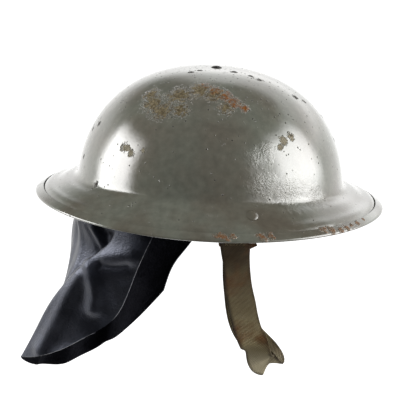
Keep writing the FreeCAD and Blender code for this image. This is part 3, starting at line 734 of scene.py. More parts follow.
@dataclass(frozen=True)
class Oilcloth(Finish):
    """Cotton cloth under a black oil coating."""

    name: str = "black_oilcloth"
    black: str = "#090a0f"
    scuff: str = "#20232b"
    cut: str = "#5e6065"
    cotton: str = "#08080b"
    gleam: str = "#dfe6ff"

    def surface(self, tree: bpy.types.NodeTree) -> Node:
        """Coated cloth: the eye sees blue black with a soft broad shine, a pebbled grain, rubbed
        greyer places and a pale thread where an edge is cut.

        Args:
            tree: the material's tree.

        Returns:
            The shader.
        """
        place = add(tree, "ShaderNodeTexCoord").outputs["Object"]
        # The coating's grain is about 1.2 mm, drawn a little coarser than the real one
        grain = add(tree, "ShaderNodeTexVoronoi", {"Vector": place, "Scale": 720.0})
        cloud = add(tree, "ShaderNodeTexNoise", {"Vector": place, "Scale": 60.0, "Detail": 7.0})
        crackle = add(
            tree, "ShaderNodeTexNoise", {"Vector": place, "Scale": 320.0, "Detail": 6.0}
        )
        rubbed = add(
            tree, "ShaderNodeMapRange",
            {"Value": cloud, "From Min": 0.52, "From Max": 0.78, "To Max": 0.8},
        )
        rim = add(tree, "ShaderNodeAttribute", attribute_name="rim")
        edge = add(
            tree, "ShaderNodeMapRange",
            {"Value": rim.outputs["Fac"], "From Min": 0.15, "From Max": 0.6},
        )
        broken = add(
            tree, "ShaderNodeMapRange", {"Value": crackle, "From Min": 0.46, "From Max": 0.6}
        )
        edge = add(tree, "ShaderNodeMath", {0: edge, 1: broken}, operation="MULTIPLY")
        # The cotton side is uncoated, so it drinks the light
        back = add(tree, "ShaderNodeAttribute", attribute_name="back").outputs["Fac"]
        colour = self.black
        for share, layer in ((rubbed, self.scuff), (edge, self.cut), (back, self.cotton)):
            colour = add(
                tree, "ShaderNodeMixRGB", {"Fac": share, "Color1": colour, "Color2": layer}
            )
        rough = add(
            tree, "ShaderNodeMapRange",
            {"Value": cloud, "From Min": 0.3, "From Max": 0.7, "To Min": 0.3, "To Max": 0.46},
        )
        rough = add(
            tree, "ShaderNodeMath", {0: back, 1: 0.45, 2: rough}, operation="MULTIPLY_ADD"
        )
        # The shine is painted weaker on the cloth that the brim shelters, a painted shade under the
        # brim
        height = add(tree, "ShaderNodeSeparateXYZ", {0: place})
        brim_shade_factor = add(
            tree, "ShaderNodeMapRange",
            {
                "Value": height.outputs["Z"], "From Min": -0.018, "From Max": -0.042,
                "To Min": 0.25, "To Max": 1.0,
            },
        )
        shine = add(tree, "ShaderNodeMapRange", {"Value": back, "To Min": 0.5, "To Max": 0.12})
        shine = add(tree, "ShaderNodeMath", {0: shine, 1: brim_shade_factor}, operation="MULTIPLY")
        fine = add(
            tree, "ShaderNodeBump",
            {"Height": grain.outputs["Distance"], "Strength": 0.5, "Distance": 0.0003},
        )
        soft = add(
            tree, "ShaderNodeBump",
            {"Height": crackle, "Strength": 0.4, "Distance": 0.0005, "Normal": fine},
        )
        return add(
            tree, "ShaderNodeBsdfPrincipled",
            {
                "Base Color": colour, "Roughness": rough, "Specular IOR Level": shine,
                "Specular Tint": self.gleam, "Normal": soft,
            },
        )


@dataclass(frozen=True)
class WoolFelt(Finish):
    """Pressed wool felt."""

    name: str = "pressed_wool_felt"
    dark: str = "#55524b"
    light: str = "#8d897e"

    def surface(self, tree: bpy.types.NodeTree) -> Node:
        """Felt: the eye sees a matte grey with tangled pale and dark hairs and a soft sheen.

        Args:
            tree: the material's tree.

        Returns:
            The shader.
        """
        place = add(tree, "ShaderNodeTexCoord").outputs["Object"]
        hairs = add(
            tree, "ShaderNodeTexNoise",
            {"Vector": place, "Scale": 600.0, "Detail": 8.0, "Roughness": 0.8, "Distortion": 2.5},
        )
        share = add(tree, "ShaderNodeMapRange", {"Value": hairs, "From Min": 0.35, "From Max": 0.65})
        colour = add(
            tree, "ShaderNodeMixRGB", {"Fac": share, "Color1": self.dark, "Color2": self.light}
        )
        bump = add(tree, "ShaderNodeBump", {"Height": hairs, "Strength": 0.8, "Distance": 0.0006})
        return add(
            tree, "ShaderNodeBsdfPrincipled",
            {"Base Color": colour, "Roughness": 0.95, "Sheen Weight": 0.35, "Normal": bump},
        )


@dataclass(frozen=True)
class Thread(Finish):
    """Twisted cotton, as lace or sewing thread."""

    name: str = "twisted_cotton"
    light: str = "#a99d80"
    dark: str = "#6f6550"

    def surface(self, tree: bpy.types.NodeTree) -> Node:
        """Cotton: the eye sees fine slanting strands, painted paler on top and darker between as
        painted shade.

        Args:
            tree: the material's tree.

        Returns:
            The shader.
        """
        place = add(tree, "ShaderNodeTexCoord").outputs["Object"]
        # A strand's twist repeats every 1.2 mm
        twist = add(
            tree, "ShaderNodeTexWave", {"Vector": place, "Scale": 520.0, "Distortion": 1.5},
            bands_direction="DIAGONAL",
        )
        # The grooves between the strands are painted darker, a painted shade of the twist
        colour = add(
            tree, "ShaderNodeMixRGB",
            {"Fac": twist.outputs["Fac"], "Color1": self.dark, "Color2": self.light},
        )
        bump = add(
            tree, "ShaderNodeBump",
            {"Height": twist.outputs["Fac"], "Strength": 0.5, "Distance": 0.0002},
        )
        return add(
            tree, "ShaderNodeBsdfPrincipled",
            {"Base Color": colour, "Roughness": 0.9, "Normal": bump},
        )


@dataclass(frozen=True)
class KhakiWebbing(Finish):
    """Twilled cotton webbing, stained where it hung against the steel."""

    name: str = "khaki_twill_webbing"
    # The darker brown towards the top, under the brim
    upper_brown: str = "#3b2f1f"
    khaki: str = "#877b5c"
    rust: str = "#573517"
    # The paler colour of the turn at the chin: partly rubbed clean, partly a painted highlight
    rubbed: str = "#b3a98e"
    # The darker brown along both edges
    edge_brown: str = "#2c2116"

    def surface(self, tree: bpy.types.NodeTree) -> Node:
        """Twill webbing: the eye sees slanting ribs with painted shade between them, khaki with a
        green cast low down, darker brown towards the top under the brim, a turn at the chin that is
        partly a painted highlight, and rust stains along the edges.

        Args:
            tree: the material's tree.

        Returns:
            The shader.
        """
        source = add(tree, "ShaderNodeTexCoord")
        place = source.outputs["Object"]
        # Real ribs are 0.8 mm apart; these are 1.7 mm so that they show
        ribs = add(
            tree, "ShaderNodeTexWave",
            {"Vector": source.outputs["UV"], "Scale": 370.0, "Distortion": 0.6, "Detail": 1.0},
            bands_direction="DIAGONAL",
        )
        warp = add(
            tree, "ShaderNodeTexWave",
            {"Vector": source.outputs["UV"], "Scale": 300.0, "Distortion": 0.4},
            bands_direction="Y",
        )
        cloud = add(tree, "ShaderNodeTexNoise", {"Vector": place, "Scale": 55.0, "Detail": 6.0})
        stain = add(tree, "ShaderNodeTexNoise", {"Vector": place, "Scale": 26.0, "Detail": 5.0})
        height = add(tree, "ShaderNodeSeparateXYZ", {0: place}).outputs["Z"]
        fall = add(
            tree, "ShaderNodeMapRange", {"Value": height, "From Min": -0.03, "From Max": -0.14}
        )
        fall = add(
            tree, "ShaderNodeMath", {0: cloud, 1: 0.7, 2: fall}, operation="MULTIPLY_ADD"
        )
        fall = add(tree, "ShaderNodeMapRange", {"Value": fall, "From Min": 0.3, "From Max": 1.35})
        rusty = add(
            tree, "ShaderNodeMapRange",
            {"Value": stain, "From Min": 0.48, "From Max": 0.62, "To Max": 0.8},
        )
        # The turn at the chin is painted paler: partly webbing rubbed clean, partly a painted
        # highlight where the turn catches the light
        clean = add(
            tree, "ShaderNodeMapRange",
            {"Value": height, "From Min": -0.134, "From Max": -0.148, "To Max": 0.85},
        )
        # The colour is darker along both edges, in patches
        side = add(tree, "ShaderNodeAttribute", attribute_name="edge")
        edge_darkening = add(
            tree, "ShaderNodeMath", {0: side.outputs["Fac"], 1: cloud}, operation="MULTIPLY"
        )
        edge_darkening = add(
            tree, "ShaderNodeMapRange",
            {"Value": edge_darkening, "From Min": 0.2, "From Max": 0.5, "To Max": 0.75},
        )
        colour = self.upper_brown
        for share, layer in (
            (fall, self.khaki), (rusty, self.rust), (clean, self.rubbed), (edge_darkening, self.edge_brown),
        ):
            colour = add(
                tree, "ShaderNodeMixRGB", {"Fac": share, "Color1": colour, "Color2": layer}
            )
        # The colour is painted paler on the ribs and darker between them, a painted shade of the
        # weave's relief
        weave = add(
            tree, "ShaderNodeMath",
            {0: ribs.outputs["Fac"], 1: warp.outputs["Fac"]}, operation="ADD",
        )
        shade = add(
            tree, "ShaderNodeMapRange",
            {"Value": weave, "From Max": 2.0, "To Min": 0.05, "To Max": 1.95},
        )
        colour = add(tree, "ShaderNodeVectorMath", {0: colour, "Scale": shade}, operation="SCALE")
        bump = add(tree, "ShaderNodeBump", {"Height": weave, "Strength": 0.8, "Distance": 0.0005})
        return add(
            tree, "ShaderNodeBsdfPrincipled",
            {"Base Color": colour, "Roughness": 0.88, "Specular IOR Level": 0.2, "Normal": bump},
        )


# Stitches


@dataclass(frozen=True)
class Stitching:
    """Machine stitches along paths, made by a Geometry Nodes tree.

    Attributes:
        pitch: from one stitch to the next.
        long: the length of a stitch.
        thick: its thickness.
    """

    pitch: float = 3.2
    long: float = 2.3
    thick: float = 0.55

    def tree(self) -> bpy.types.NodeTree:
        """The tree that turns the edges of a mesh into stitches, built once.

        Returns:
            The tree, with inputs for pitch, length, thickness and thread.
        """
        known = bpy.data.node_groups.get("stitches_on_a_path")
        if known:
            return known
        tree = bpy.data.node_groups.new("stitches_on_a_path", "GeometryNodeTree")
        face = tree.interface
        face.new_socket("Path", in_out="INPUT", socket_type="NodeSocketGeometry")
        for name in ("Pitch", "Length", "Thickness"):
            face.new_socket(name, in_out="INPUT", socket_type="NodeSocketFloat")
        face.new_socket("Thread", in_out="INPUT", socket_type="NodeSocketMaterial")
        face.new_socket("Stitches", in_out="OUTPUT", socket_type="NodeSocketGeometry")
        given = add(tree, "NodeGroupInput")
        line = add(tree, "GeometryNodeMeshToCurve", {"Mesh": given.outputs["Path"]})
        marks = add(
            tree, "GeometryNodeCurveToPoints",
            {"Curve": line, "Length": given.outputs["Pitch"]}, mode="LENGTH",
        )
        bead = add(
            tree, "GeometryNodeMeshUVSphere", {"Segments": 6, "Rings": 4, "Radius": 0.5}
        )
        size = add(
            tree, "ShaderNodeCombineXYZ",
            {
                "X": given.outputs["Thickness"], "Y": given.outputs["Thickness"],
                "Z": given.outputs["Length"],
            },
        )
        sewn = add(
            tree, "GeometryNodeInstanceOnPoints",
            {
                "Points": marks.outputs["Points"], "Instance": bead.outputs["Mesh"],
                "Rotation": marks.outputs["Rotation"], "Scale": size,
            },
        )
        real = add(tree, "GeometryNodeRealizeInstances", {"Geometry": sewn})
        smooth = add(tree, "GeometryNodeSetShadeSmooth", {"Geometry": real})
        dyed = add(
            tree, "GeometryNodeSetMaterial",
            {"Geometry": smooth, "Material": given.outputs["Thread"]},
        )
        add(tree, "NodeGroupOutput", {"Stitches": dyed})
        return tree

    def sew(self, name: str, paths: list[np.ndarray], thread: Finish) -> Piece:
        """Stitches along each path.

        Args:
            name: the piece's name.
            paths: lines of points in millimetres.
            thread: the thread's finish.

        Returns:
            One plain mesh piece.
        """
        points, edges = [], []
        for path in paths:
            first = len(points)
            points += (np.asarray(path) * MM).tolist()
            edges += [(first + i, first + i + 1) for i in range(len(path) - 1)]
        mesh = bpy.data.meshes.new(name + "_path")
        mesh.from_pydata(points, edges, [])
        piece = bpy.data.objects.new(name + "_path", mesh)
        bpy.context.scene.collection.objects.link(piece)
        modifier = piece.modifiers.new("stitches", "NODES")
        modifier.node_group = self.tree()
        values = {
            "Pitch": self.pitch * MM, "Length": self.long * MM, "Thickness": self.thick * MM,
            "Thread": thread.material(),
        }
        for socket in modifier.node_group.interface.items_tree:
            if socket.in_out == "INPUT" and socket.name in values:
                modifier[socket.identifier] = values[socket.name]
        return plain(piece, name)


# The helmet


class Side(Enum):
    """The wearer's right, which is nearer the camera, or left."""

    RIGHT = -1
    LEFT = 1


@dataclass
class PressedShell:
    """The steel bowl and brim, its crown screw, and the strap's lugs with their rivets."""

    paint: Finish = field(default_factory=OlivePaint)
    screw: Finish = field(
        default_factory=lambda: Metal("blackened_screw_steel", "#3b3835", "#1d1a18", 0.5, 0.6)
    )

    def build(self) -> list[Piece]:
        """Dresses the CAD pieces and returns them."""
        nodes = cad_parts
        names = ("shell", "right_lug", "left_lug", "right_lug_rivet", "left_lug_rivet")
        painted = [nodes[name] for name in names]
        self.paint.dress(*painted)
        self.screw.dress(nodes["crown_screw"])
        return [*painted, nodes["crown_screw"]]


@dataclass
class RimStrip:
    """The steel strip folded over the brim's edge, from one butt joint round to it again.

    Attributes:
        half_length: half the rim's length from front to rear.
        half_width: half its width.
        droop: how much lower the rim lies at the sides than at the ends.
        brim_run: how far in from the rim the brim's slope changes.
        end_slopes: the brim's slope in degrees at the rim and where that run ends, at the ends.
        side_slopes: the same at the sides.
        top: how wide the strip is on the brim's upper face.
        under: how wide it is below.
        steel: the brim's thickness.
        strip: the strip's own thickness.
        bead: how far its pressed inner edge stands out.
        joint: the gap at the butt joint.
        steps: how many rings the sweep has.
    """

    half_length: float = 152.5
    half_width: float = 144.5
    droop: float = 3.8
    brim_run: float = 30.0
    end_slopes: tuple = (30.0, 17.0)
    side_slopes: tuple = (38.0, 32.0)
    top: float = 6.2
    under: float = 5.0
    steel: float = 1.2
    strip: float = 0.7
    bead: float = 0.12
    joint: float = 0.5
    steps: int = 360

    def brim(self, half: float, height: float, slopes: tuple, inward: float, lift: float) -> tuple:
        """A place off one of the brim's two lines.

        Args:
            half: the line's half span at the rim.
            height: its height at the rim.
            slopes: its slope in degrees at the rim and at the end of its run.
            inward: how far in from the rim.
            lift: how far off the line, square to it.

        Returns:
            Half span and height of the place.
        """
        steep, shallow = (math.tan(math.radians(slope)) for slope in slopes)

        def at(reach: float) -> tuple[float, float]:
            """A place on the line itself."""
            rise = steep * reach - (steep - shallow) * reach**2 / (2 * self.brim_run)
            return half - reach, height + rise

        step = 0.1
        (x, z), (inner_x, inner_z) = at(inward), at(inward + step)
        run, rise = x - inner_x, inner_z - z
        size = math.hypot(run, rise)
        return x + lift * rise / size, z + lift * run / size

    def build(self) -> list[Piece]:
        """Sweeps the folded section round the rim and closes it at the butt joint.

        Returns:
            The strip.
        """
        gap = self.joint / self.half_length / 2
        turns = np.linspace(math.pi + gap, 3 * math.pi - gap, self.steps)
        inner_edge = 0.28 * wobble(turns / (2 * np.pi), seed=5, waves=24)
        rings = []
        for turn, stray in zip(turns, inner_edge):
            top, under, far = self.top + stray, self.under - stray, self.steel + self.strip
            # How far in from the rim, and how far off the brim's upper face
            outline = (
                (top, 0.0), (top + self.bead, self.strip * 0.45), (top - self.bead, self.strip),
                (top * 0.5, self.strip + 0.05), (0.9, self.strip), (0.0, self.strip * 0.75),
                (-0.55, 0.1), (-0.8, -self.steel * 0.5), (-0.55, -self.steel - 0.1),
                (0.0, -far + 0.15), (0.9, -far), (under, -far), (under, -self.steel),
                (0.15, -self.steel), (0.0, -self.steel * 0.5), (0.15, 0.0), (top * 0.5, 0.0),
            )
            along, across = math.cos(turn), math.sin(turn)
            ring = []
            for inward, lift in outline:
                end = self.brim(self.half_length, 0.0, self.end_slopes, inward, lift)
                side = self.brim(self.half_width, -self.droop, self.side_slopes, inward, lift)
                height = end[1] * along**2 + side[1] * across**2
                ring.append((end[0] * along, side[0] * across, height))
            rings.append(ring)
        strip = swept("rim_strip_folded", np.array(rings))
        OlivePaint().dress(strip)
        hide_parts("rim_strip")
        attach(strip, "helmet")
        return [strip]


@dataclass
class Liner:
    """What sits in the shell: fibre hoop and bands, rubber, sweatband, laced cap and felt.

    Attributes:
        hoop: the hoop's outer half length and half width.
        fibre: the hoop's thickness.
        gap: the space left between two layers.
        sweat_sheet: the sweatband's thickness.
        sweat_bottom: how high its lower edge lies.
        sweat_top: how high its upper edge lies.
        seam_heights: how high its two rows of stitches lie.
        rear_seam: from where to where the seam at its rear runs.
        cap_sheet: the cap's thickness.
        cap_foot: how high the cap's lower edge lies.
        cap_top: how high its top lies.
        cap_grid: rows and columns of one tongue.
        mouth: the radius of the hole that the tongues leave at the top.
        tongues: how many tongues there are.
        tongue_gap: how wide the slits between them are.
        tongue_root: how far from the middle the slits begin.
        curl: how far a tongue's edges turn down at its tip.
        pucker: how deep its creases are there.
        draw: how much its middle stands out there, as a share.
        lace: the lace's radius.
        lace_loop: the radius of the loop that it lies in.
        lace_low: how high it lies under a tongue.
        lace_lift: how much higher it is between two tongues.
        felt: the felt's half length and half width.
        felt_bottom: how high its lower face lies.
        felt_thick: its thickness.
        felt_hole: half length and half width of its hole.
        cloth: the finish of sweatband and cap.
        thread: the finish of the stitches.
    """

    hoop: tuple = (105.0, 88.0)
    fibre: float = 1.6
    gap: float = 0.2
    sweat_sheet: float = 1.4
    sweat_bottom: float = -8.0
    sweat_top: float = 40.0
    seam_heights: tuple = (-4.5, 36.5)
    rear_seam: tuple = (-6.0, 33.0)
    cap_sheet: float = 1.0
    cap_foot: float = 34.0
    cap_top: float = 87.0
    cap_grid: tuple = (34, 18)
    mouth: float = 20.0
    tongues: int = 8
    tongue_gap: float = 9.0
    tongue_root: float = 80.0
    curl: float = 0.9
    pucker: float = 0.25
    draw: float = 0.012
    lace: float = 1.1
    lace_loop: float = 23.5
    lace_low: float = 82.7
    lace_lift: float = 1.9
    felt: tuple = (52.0, 44.0)
    felt_bottom: float = 86.0
    felt_thick: float = 3.0
    felt_hole: tuple = (13.0, 11.0)
    cloth: Finish = field(default_factory=Oilcloth)
    thread: Finish = field(
        default_factory=lambda: Thread("black_linen_thread", "#4a463e", "#23211e")
    )

    def dress_frame(self) -> list[Piece]:
        """Dresses the CAD's hoop, bands, rivets, nut, washer and rubber.

        Returns:
            The dressed pieces.
        """
        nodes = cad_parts
        fibre = [nodes[n] for n in ("headband", "liner_band_lengthwise", "liner_band_crosswise")]
        VulcanFibre().dress(*fibre)
        steel = [nodes[n] for n in ("headband_rivets", "crown_nut", "crown_washer")]
        Metal().dress(*steel)
        rubber = [nodes[n] for n in ("crown_pad", "rubber_buffers")]
        Rubber().dress(*rubber)
        return fibre + steel + rubber

    def sweatband(self) -> Piece:
        """The strip inside the hoop, with a rolled lower edge.

        Returns:
            The finished piece.
        """
        inset = self.fibre + self.gap + self.sweat_sheet / 2
        turns = np.linspace(0.0, 1.0, 240, endpoint=False)
        heights = np.linspace(self.sweat_bottom + 0.6, self.sweat_top - 0.4, 30)
        angle = 2 * np.pi * turns + np.pi
        grid = np.zeros((len(heights), len(turns), 3))
        slack = 0.12 * wobble(turns, seed=11, waves=12)
        stray = 0.35 * wobble(turns, seed=12, waves=14)
        for i, height in enumerate(heights):
            give = slack * np.sin(np.pi * i / (len(heights) - 1))
            roll = 0.9 * math.exp(-((height - heights[0]) / 1.4) ** 2)
            grid[i, :, 0] = (self.hoop[0] - inset + roll + give) * np.cos(angle)
            grid[i, :, 1] = (self.hoop[1] - inset + roll + give) * np.sin(angle)
            grid[i, :, 2] = height + stray * (height > self.sweat_top - 8)
        band = sheeting("sweatband_oilcloth", grid, self.sweat_sheet - 0.2, ring=True)
        self.cloth.dress(band)
        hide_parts("sweatband")
        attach(band, "helmet")
        return band

    def cap_half(self) -> tuple[float, float]:
        """Half length and half width of the cap's middle surface at its foot."""
        inset = self.fibre + self.sweat_sheet + 2 * self.gap + self.cap_sheet / 2
        return self.hoop[0] - inset, self.hoop[1] - inset

    def tongue(self, number: int) -> np.ndarray:
        """One tongue of the cap, which narrows from the foot towards the lace.

        Args:
            number: which tongue, counted from the front.

        Returns:
            Its places in millimetres, row after row.
        """
        half, top = self.cap_half(), self.cap_top - self.cap_sheet / 2
        rows, columns = self.cap_grid
        middle = 2 * math.pi * number / self.tongues
        points = []
        for i in range(rows):
            t = (i / (rows - 1)) ** 0.85
            rise = [math.acos(self.mouth / span) * t for span in half]
            reach = [span * math.cos(turn) for span, turn in zip(half, rise)]
            height = [self.cap_foot + (top - self.cap_foot) * math.sin(turn) for turn in rise]
            mean = (reach[0] + reach[1]) / 2
            free = max(0.0, 1 - mean / self.tongue_root)
            spread = math.pi / self.tongues - self.tongue_gap / 2 * free / mean
            for j in range(columns):
                s = 2 * j / (columns - 1) - 1
                c, w = math.cos(middle + spread * s), math.sin(middle + spread * s)
                curl = -self.curl * free * abs(s) ** 3
                pucker = self.pucker * free * math.cos(3 * math.pi * s)
                draw = 1 + self.draw * free * math.cos(math.pi * s / 2)
                z = height[0] * c * c + height[1] * w * w + curl + pucker
                points.append((reach[0] * c * draw, reach[1] * w * draw, z))
        return np.array(points)

    def cap(self) -> Piece:
        """Tongues that rise from the hoop to the lace, puckered where it draws them in.

        Returns:
            The finished piece.
        """
        rows, columns = self.cap_grid
        points = np.concatenate([self.tongue(number) for number in range(self.tongues)])
        faces = []
        for row in range(rows * self.tongues):
            if row % rows < rows - 1:
                for a in range(row * columns, (row + 1) * columns - 1):
                    faces.append((a, a + 1, a + columns + 1, a + columns))
        mesh = bpy.data.meshes.new("cap")
        mesh.from_pydata((points * MM).tolist(), [], faces)
        work = bmesh.new()
        work.from_mesh(mesh)
        bmesh.ops.remove_doubles(work, verts=work.verts, dist=0.00004)
        bmesh.ops.recalc_face_normals(work, faces=work.faces)
        for face in work.faces:
            face.smooth = True
        work.to_mesh(mesh)
        work.free()
        raw = bpy.data.objects.new("cap", mesh)
        bpy.context.scene.collection.objects.link(raw)
        thick = raw.modifiers.new("thick", "SOLIDIFY")
        thick.thickness = (self.cap_sheet - 0.1) * MM
        thick.offset = 0.0
        cap = plain(raw, "head_cap_tongues")
        cap.data.set_sharp_from_angle(angle=CREASE)
        self.cloth.dress(cap)
        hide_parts("head_cap")
        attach(cap, "helmet")
        # The skin of half an egg and a little more, which the lace gathers
        return cap

    def drawn_lace(self) -> Piece:
        """The lace: under each tongue's tip and up through the gap to the next.

        Returns:
            The finished piece.
        """
        count = 40 * self.tongues
        turns = np.linspace(0, 2 * np.pi, count, endpoint=False)
        phase = 0.5 - 0.5 * np.cos(self.tongues * turns)
        lift = phase**6 * self.lace_lift
        centre = np.stack(
            [
                self.lace_loop * np.cos(turns), self.lace_loop * np.sin(turns),
                self.lace_low + lift,
            ],
            axis=1,
        )
        along = unit(np.roll(centre, -1, axis=0) - np.roll(centre, 1, axis=0))
        out = unit(np.cross(along, np.array([0.0, 0.0, 1.0])))
        up = np.cross(out, along)
        around = np.linspace(0, 2 * np.pi, 10, endpoint=False)
        c, s = np.cos(around)[None, :, None], np.sin(around)[None, :, None]
        rings = centre[:, None] + (self.lace - 0.1) * (c * out[:, None] + s * up[:, None])
        lace = swept("cap_lace_drawn", rings, closed=True)
        Thread().dress(lace)
        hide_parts("cap_lace")
        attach(lace, "helmet")
        return lace

    def felt_pad(self) -> Piece:
        """The oval of felt on the tongues, with soft edges and its hole.

        Returns:
            The finished piece.
        """
        section = []
        for k in range(24):
            turn = 2 * math.pi * k / 24
            across, up = math.cos(turn), math.sin(turn)
            section.append(
                (
                    0.5 + 0.5 * math.copysign(abs(across) ** 0.25, across),
                    0.5 + 0.5 * math.copysign(abs(up) ** 0.7, up),
                )
            )
        rings = []
        turns = np.linspace(0, 1, 120, endpoint=False)
        for turn, ragged in zip(turns, wobble(turns, seed=21, waves=20)):
            c, s = math.cos(2 * math.pi * turn), math.sin(2 * math.pi * turn)
            outer = [half - 0.5 + 0.4 * ragged for half in self.felt]
            ring = []
            for out, up in section:
                reach = [hole + (o - hole) * out for hole, o in zip(self.felt_hole, outer)]
                ring.append((reach[0] * c, reach[1] * s, self.felt_bottom + self.felt_thick * up))
            rings.append(ring)
        pad = swept("crown_felt", np.array(rings), closed=True)
        WoolFelt().dress(pad)
        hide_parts("felt_pad")
        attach(pad, "helmet")
        return pad

    def seams(self) -> Piece:
        """Stitches along the sweatband's edges and down its rear seam.

        Returns:
            One piece with all the stitches.
        """
        inset = self.fibre + self.gap + self.sweat_sheet
        turns = np.linspace(0, 2 * np.pi, 361) + np.pi
        paths = []
        for height, roll in zip(self.seam_heights, (0.1, 0.0)):
            paths.append(
                np.stack(
                    [
                        (self.hoop[0] - inset + roll) * np.cos(turns),
                        (self.hoop[1] - inset + roll) * np.sin(turns),
                        np.full_like(turns, height),
                    ],
                    axis=1,
                )
            )
        for side in (-1, 1):
            paths.append(
                np.array([(-(self.hoop[0] - inset) + 0.05, side * 2.5, z) for z in self.rear_seam])
            )
        sewn = Stitching(thick=0.5).sew("sweatband_stitches", paths, self.thread)
        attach(sewn, "helmet")
        return sewn

    def build(self) -> list[Piece]:
        """Builds and dresses the whole liner."""
        cloth = [self.sweatband(), self.cap(), self.drawn_lace(), self.felt_pad(), self.seams()]
        return self.dress_frame() + cloth


@dataclass
class ChinStrap:
    """One length of webbing, sewn round both lugs' bars, with a turn at the bottom.

    Attributes:
        wide: the webbing's width.
        thick: its thickness.
        eye: the radius of its middle line round a bar.
        apart: how far each layer lies from the middle of a sewn end.
        stray: how far the tail hangs out of line on the wearer's right and left.
        box: where the stitched box starts below the bar, its half width, and how far above the
            sewn end's foot it stops.
        bar: the middle of the left lug's bar.
        bar_line: the direction of that bar.
        stations: places on the free webbing's middle line, each with the direction across it.
        swing: where the bend would start and end, in metres; not used.
    """

    wide: float = 25.0
    thick: float = 1.8
    eye: float = 2.65
    apart: float = 0.96
    stray: tuple = (7.6, 1.0)
    box: tuple = (9.0, 8.0, 13.0)
    bar: tuple = (20.49, 102.84, -1.34)
    bar_line: tuple = (0.9625, -0.2712, -0.0088)
    stations: tuple = (
        ((25.4, -88.0, -29.0), (0.92, 0.39, 0.0)),
        ((27.4, -77.0, -50.2), (0.87, 0.49, 0.0)),
        ((29.7, -65.0, -67.1), (0.90, 0.44, 0.02)),
        ((33.4, -53.0, -82.6), (0.90, 0.42, 0.04)),
        ((36.6, -42.0, -97.6), (0.88, 0.46, 0.05)),
        ((40.3, -31.0, -111.5), (0.85, 0.50, 0.06)),
        ((45.2, -21.0, -124.4), (0.88, 0.44, -0.08)),
        ((51.6, -11.0, -138.2), (0.92, 0.05, -0.38)),
        ((54.2, -4.0, -146.3), (0.80, 0.52, -0.28)),
        ((58.6, 3.0, -151.6), (0.76, 0.62, 0.10)),
        ((63.4, 9.0, -150.9), (0.78, 0.52, 0.36)),
        ((61.4, 13.5, -147.9), (0.80, 0.20, 0.56)),
        ((57.0, 18.0, -143.8), (0.82, 0.18, 0.54)),
        ((49.8, 23.5, -138.4), (0.86, 0.14, 0.46)),
        ((42.0, 29.0, -131.6), (0.90, 0.10, 0.34)),
        ((35.5, 36.0, -121.0), (0.95, -0.02, 0.18)),
        ((30.6, 44.5, -100.0), (0.97, -0.20, 0.05)),
        ((28.5, 52.2, -86.4), (0.97, -0.26, 0.0)),
        ((27.4, 62.0, -71.3), (0.97, -0.26, 0.0)),
        ((26.2, 72.8, -54.6), (0.97, -0.26, 0.0)),
        ((24.5, 88.0, -31.0), (0.97, -0.26, 0.0)),
    )
    swing: tuple = ((0.0205, 0.0, -0.002), (0.0205, 0.0, -0.034))

    def sewn_end(self, side: Side) -> tuple[list, list, dict]:
        """The end that goes round a bar, from its tail to the free webbing.

        Args:
            side: which lug.

        Returns:
            The places, the directions across, and the frame of the sewn part.
        """
        sign = side.value
        low = np.array(self.stations[0 if side is Side.RIGHT else -1][0])
        bar = np.array([self.bar[0], sign * self.bar[1], self.bar[2]])
        line = np.array([self.bar_line[0], sign * self.bar_line[1], self.bar_line[2]])
        reach = np.linalg.norm(low - bar)
        drop = (low - bar) / reach
        inner = unit(np.cross(drop, line))
        inner = inner * (1 if inner[1] * sign < 0 else -1)
        stray = self.stray[0 if side is Side.RIGHT else 1]
        # Each place by its way down from the bar, its way off the middle and its share of stray
        tail = [
            bar + drop * down + inner * self.apart * off + line * stray * share
            for down, off, share in (
                (reach - 3, 1.3, 1.0), (reach - 13, 1.05, 0.55), (9, 1.1, 0.12),
            )
        ]
        arc = []
        for degrees in range(0, 181, 30):
            turn = math.radians(degrees)
            arc.append(bar + self.eye * (inner * math.cos(turn) - drop * math.sin(turn)))
        outer = [
            bar + drop * down - inner * self.apart * off
            for down, off in ((9, 1.1), (reach - 14, 1.0), (reach - 6, 0.7))
        ]
        places = tail + arc + outer
        sewn = {"bar": bar, "drop": drop, "inner": inner, "line": line, "reach": reach}
        return places, [line] * len(places), sewn

    def centreline(self) -> tuple[np.ndarray, np.ndarray, list[dict]]:
        """The webbing's middle line and the directions across it, tail to tail.

        Returns:
            The places, the directions across, and the frames of both sewn parts.
        """
        right, right_across, right_frame = self.sewn_end(Side.RIGHT)
        left, left_across, left_frame = self.sewn_end(Side.LEFT)
        free = [np.array(place) for place, _ in self.stations]
        free_across = [np.array(across) for _, across in self.stations]
        places = np.array(right + free + left[::-1])
        across = np.array(right_across + free_across + left_across[::-1])
        knots = lengths(places)
        step = 1.1
        at = np.linspace(0, knots[-1], int(knots[-1] / step))
        return spline(knots, places, at), spline(knots, unit(across), at), [right_frame, left_frame]

    def webbing(self) -> tuple[Piece, list[dict]]:
        """The ribbon itself, with its soft woven edges.

        Returns:
            The piece, with an "edge" attribute that is 1 along both edges, and the frames of
            both sewn parts.
        """
        centre, across, frames = self.centreline()
        along = unit(np.gradient(centre, axis=0))
        across = unit(across - along * (across * along).sum(axis=1, keepdims=True))
        square = np.cross(along, across)
        turns = np.linspace(0, 1, len(centre))
        sway = 0.35 * wobble(turns, seed=31, waves=16)
        edge = 0.25 * wobble(turns, seed=32, waves=40)
        # Each face is flat up to 0.96 of the half width, and the edges are rounded
        outline = []
        for sign in (1, -1):
            outline += [(s * 0.96, 0.5 * sign) for s in np.linspace(-sign, sign, 9)]
            outline += [(sign, 0.22 * sign), (sign, -0.22 * sign)]
        rings = []
        for i in range(len(centre)):
            half = self.wide / 2 + edge[i]
            ring = []
            for s, t in outline:
                cup = sway[i] * s * s
                ring.append(centre[i] + across[i] * half * s + square[i] * (self.thick * t + cup))
            rings.append(ring)
        piece = swept("chin_strap_webbing", np.array(rings))
        edges = np.tile([abs(s) ** 3 for s, _ in outline], len(centre))
        mark = piece.data.attributes.new("edge", "FLOAT", "POINT")
        mark.data.foreach_set("value", edges)
        return piece, frames

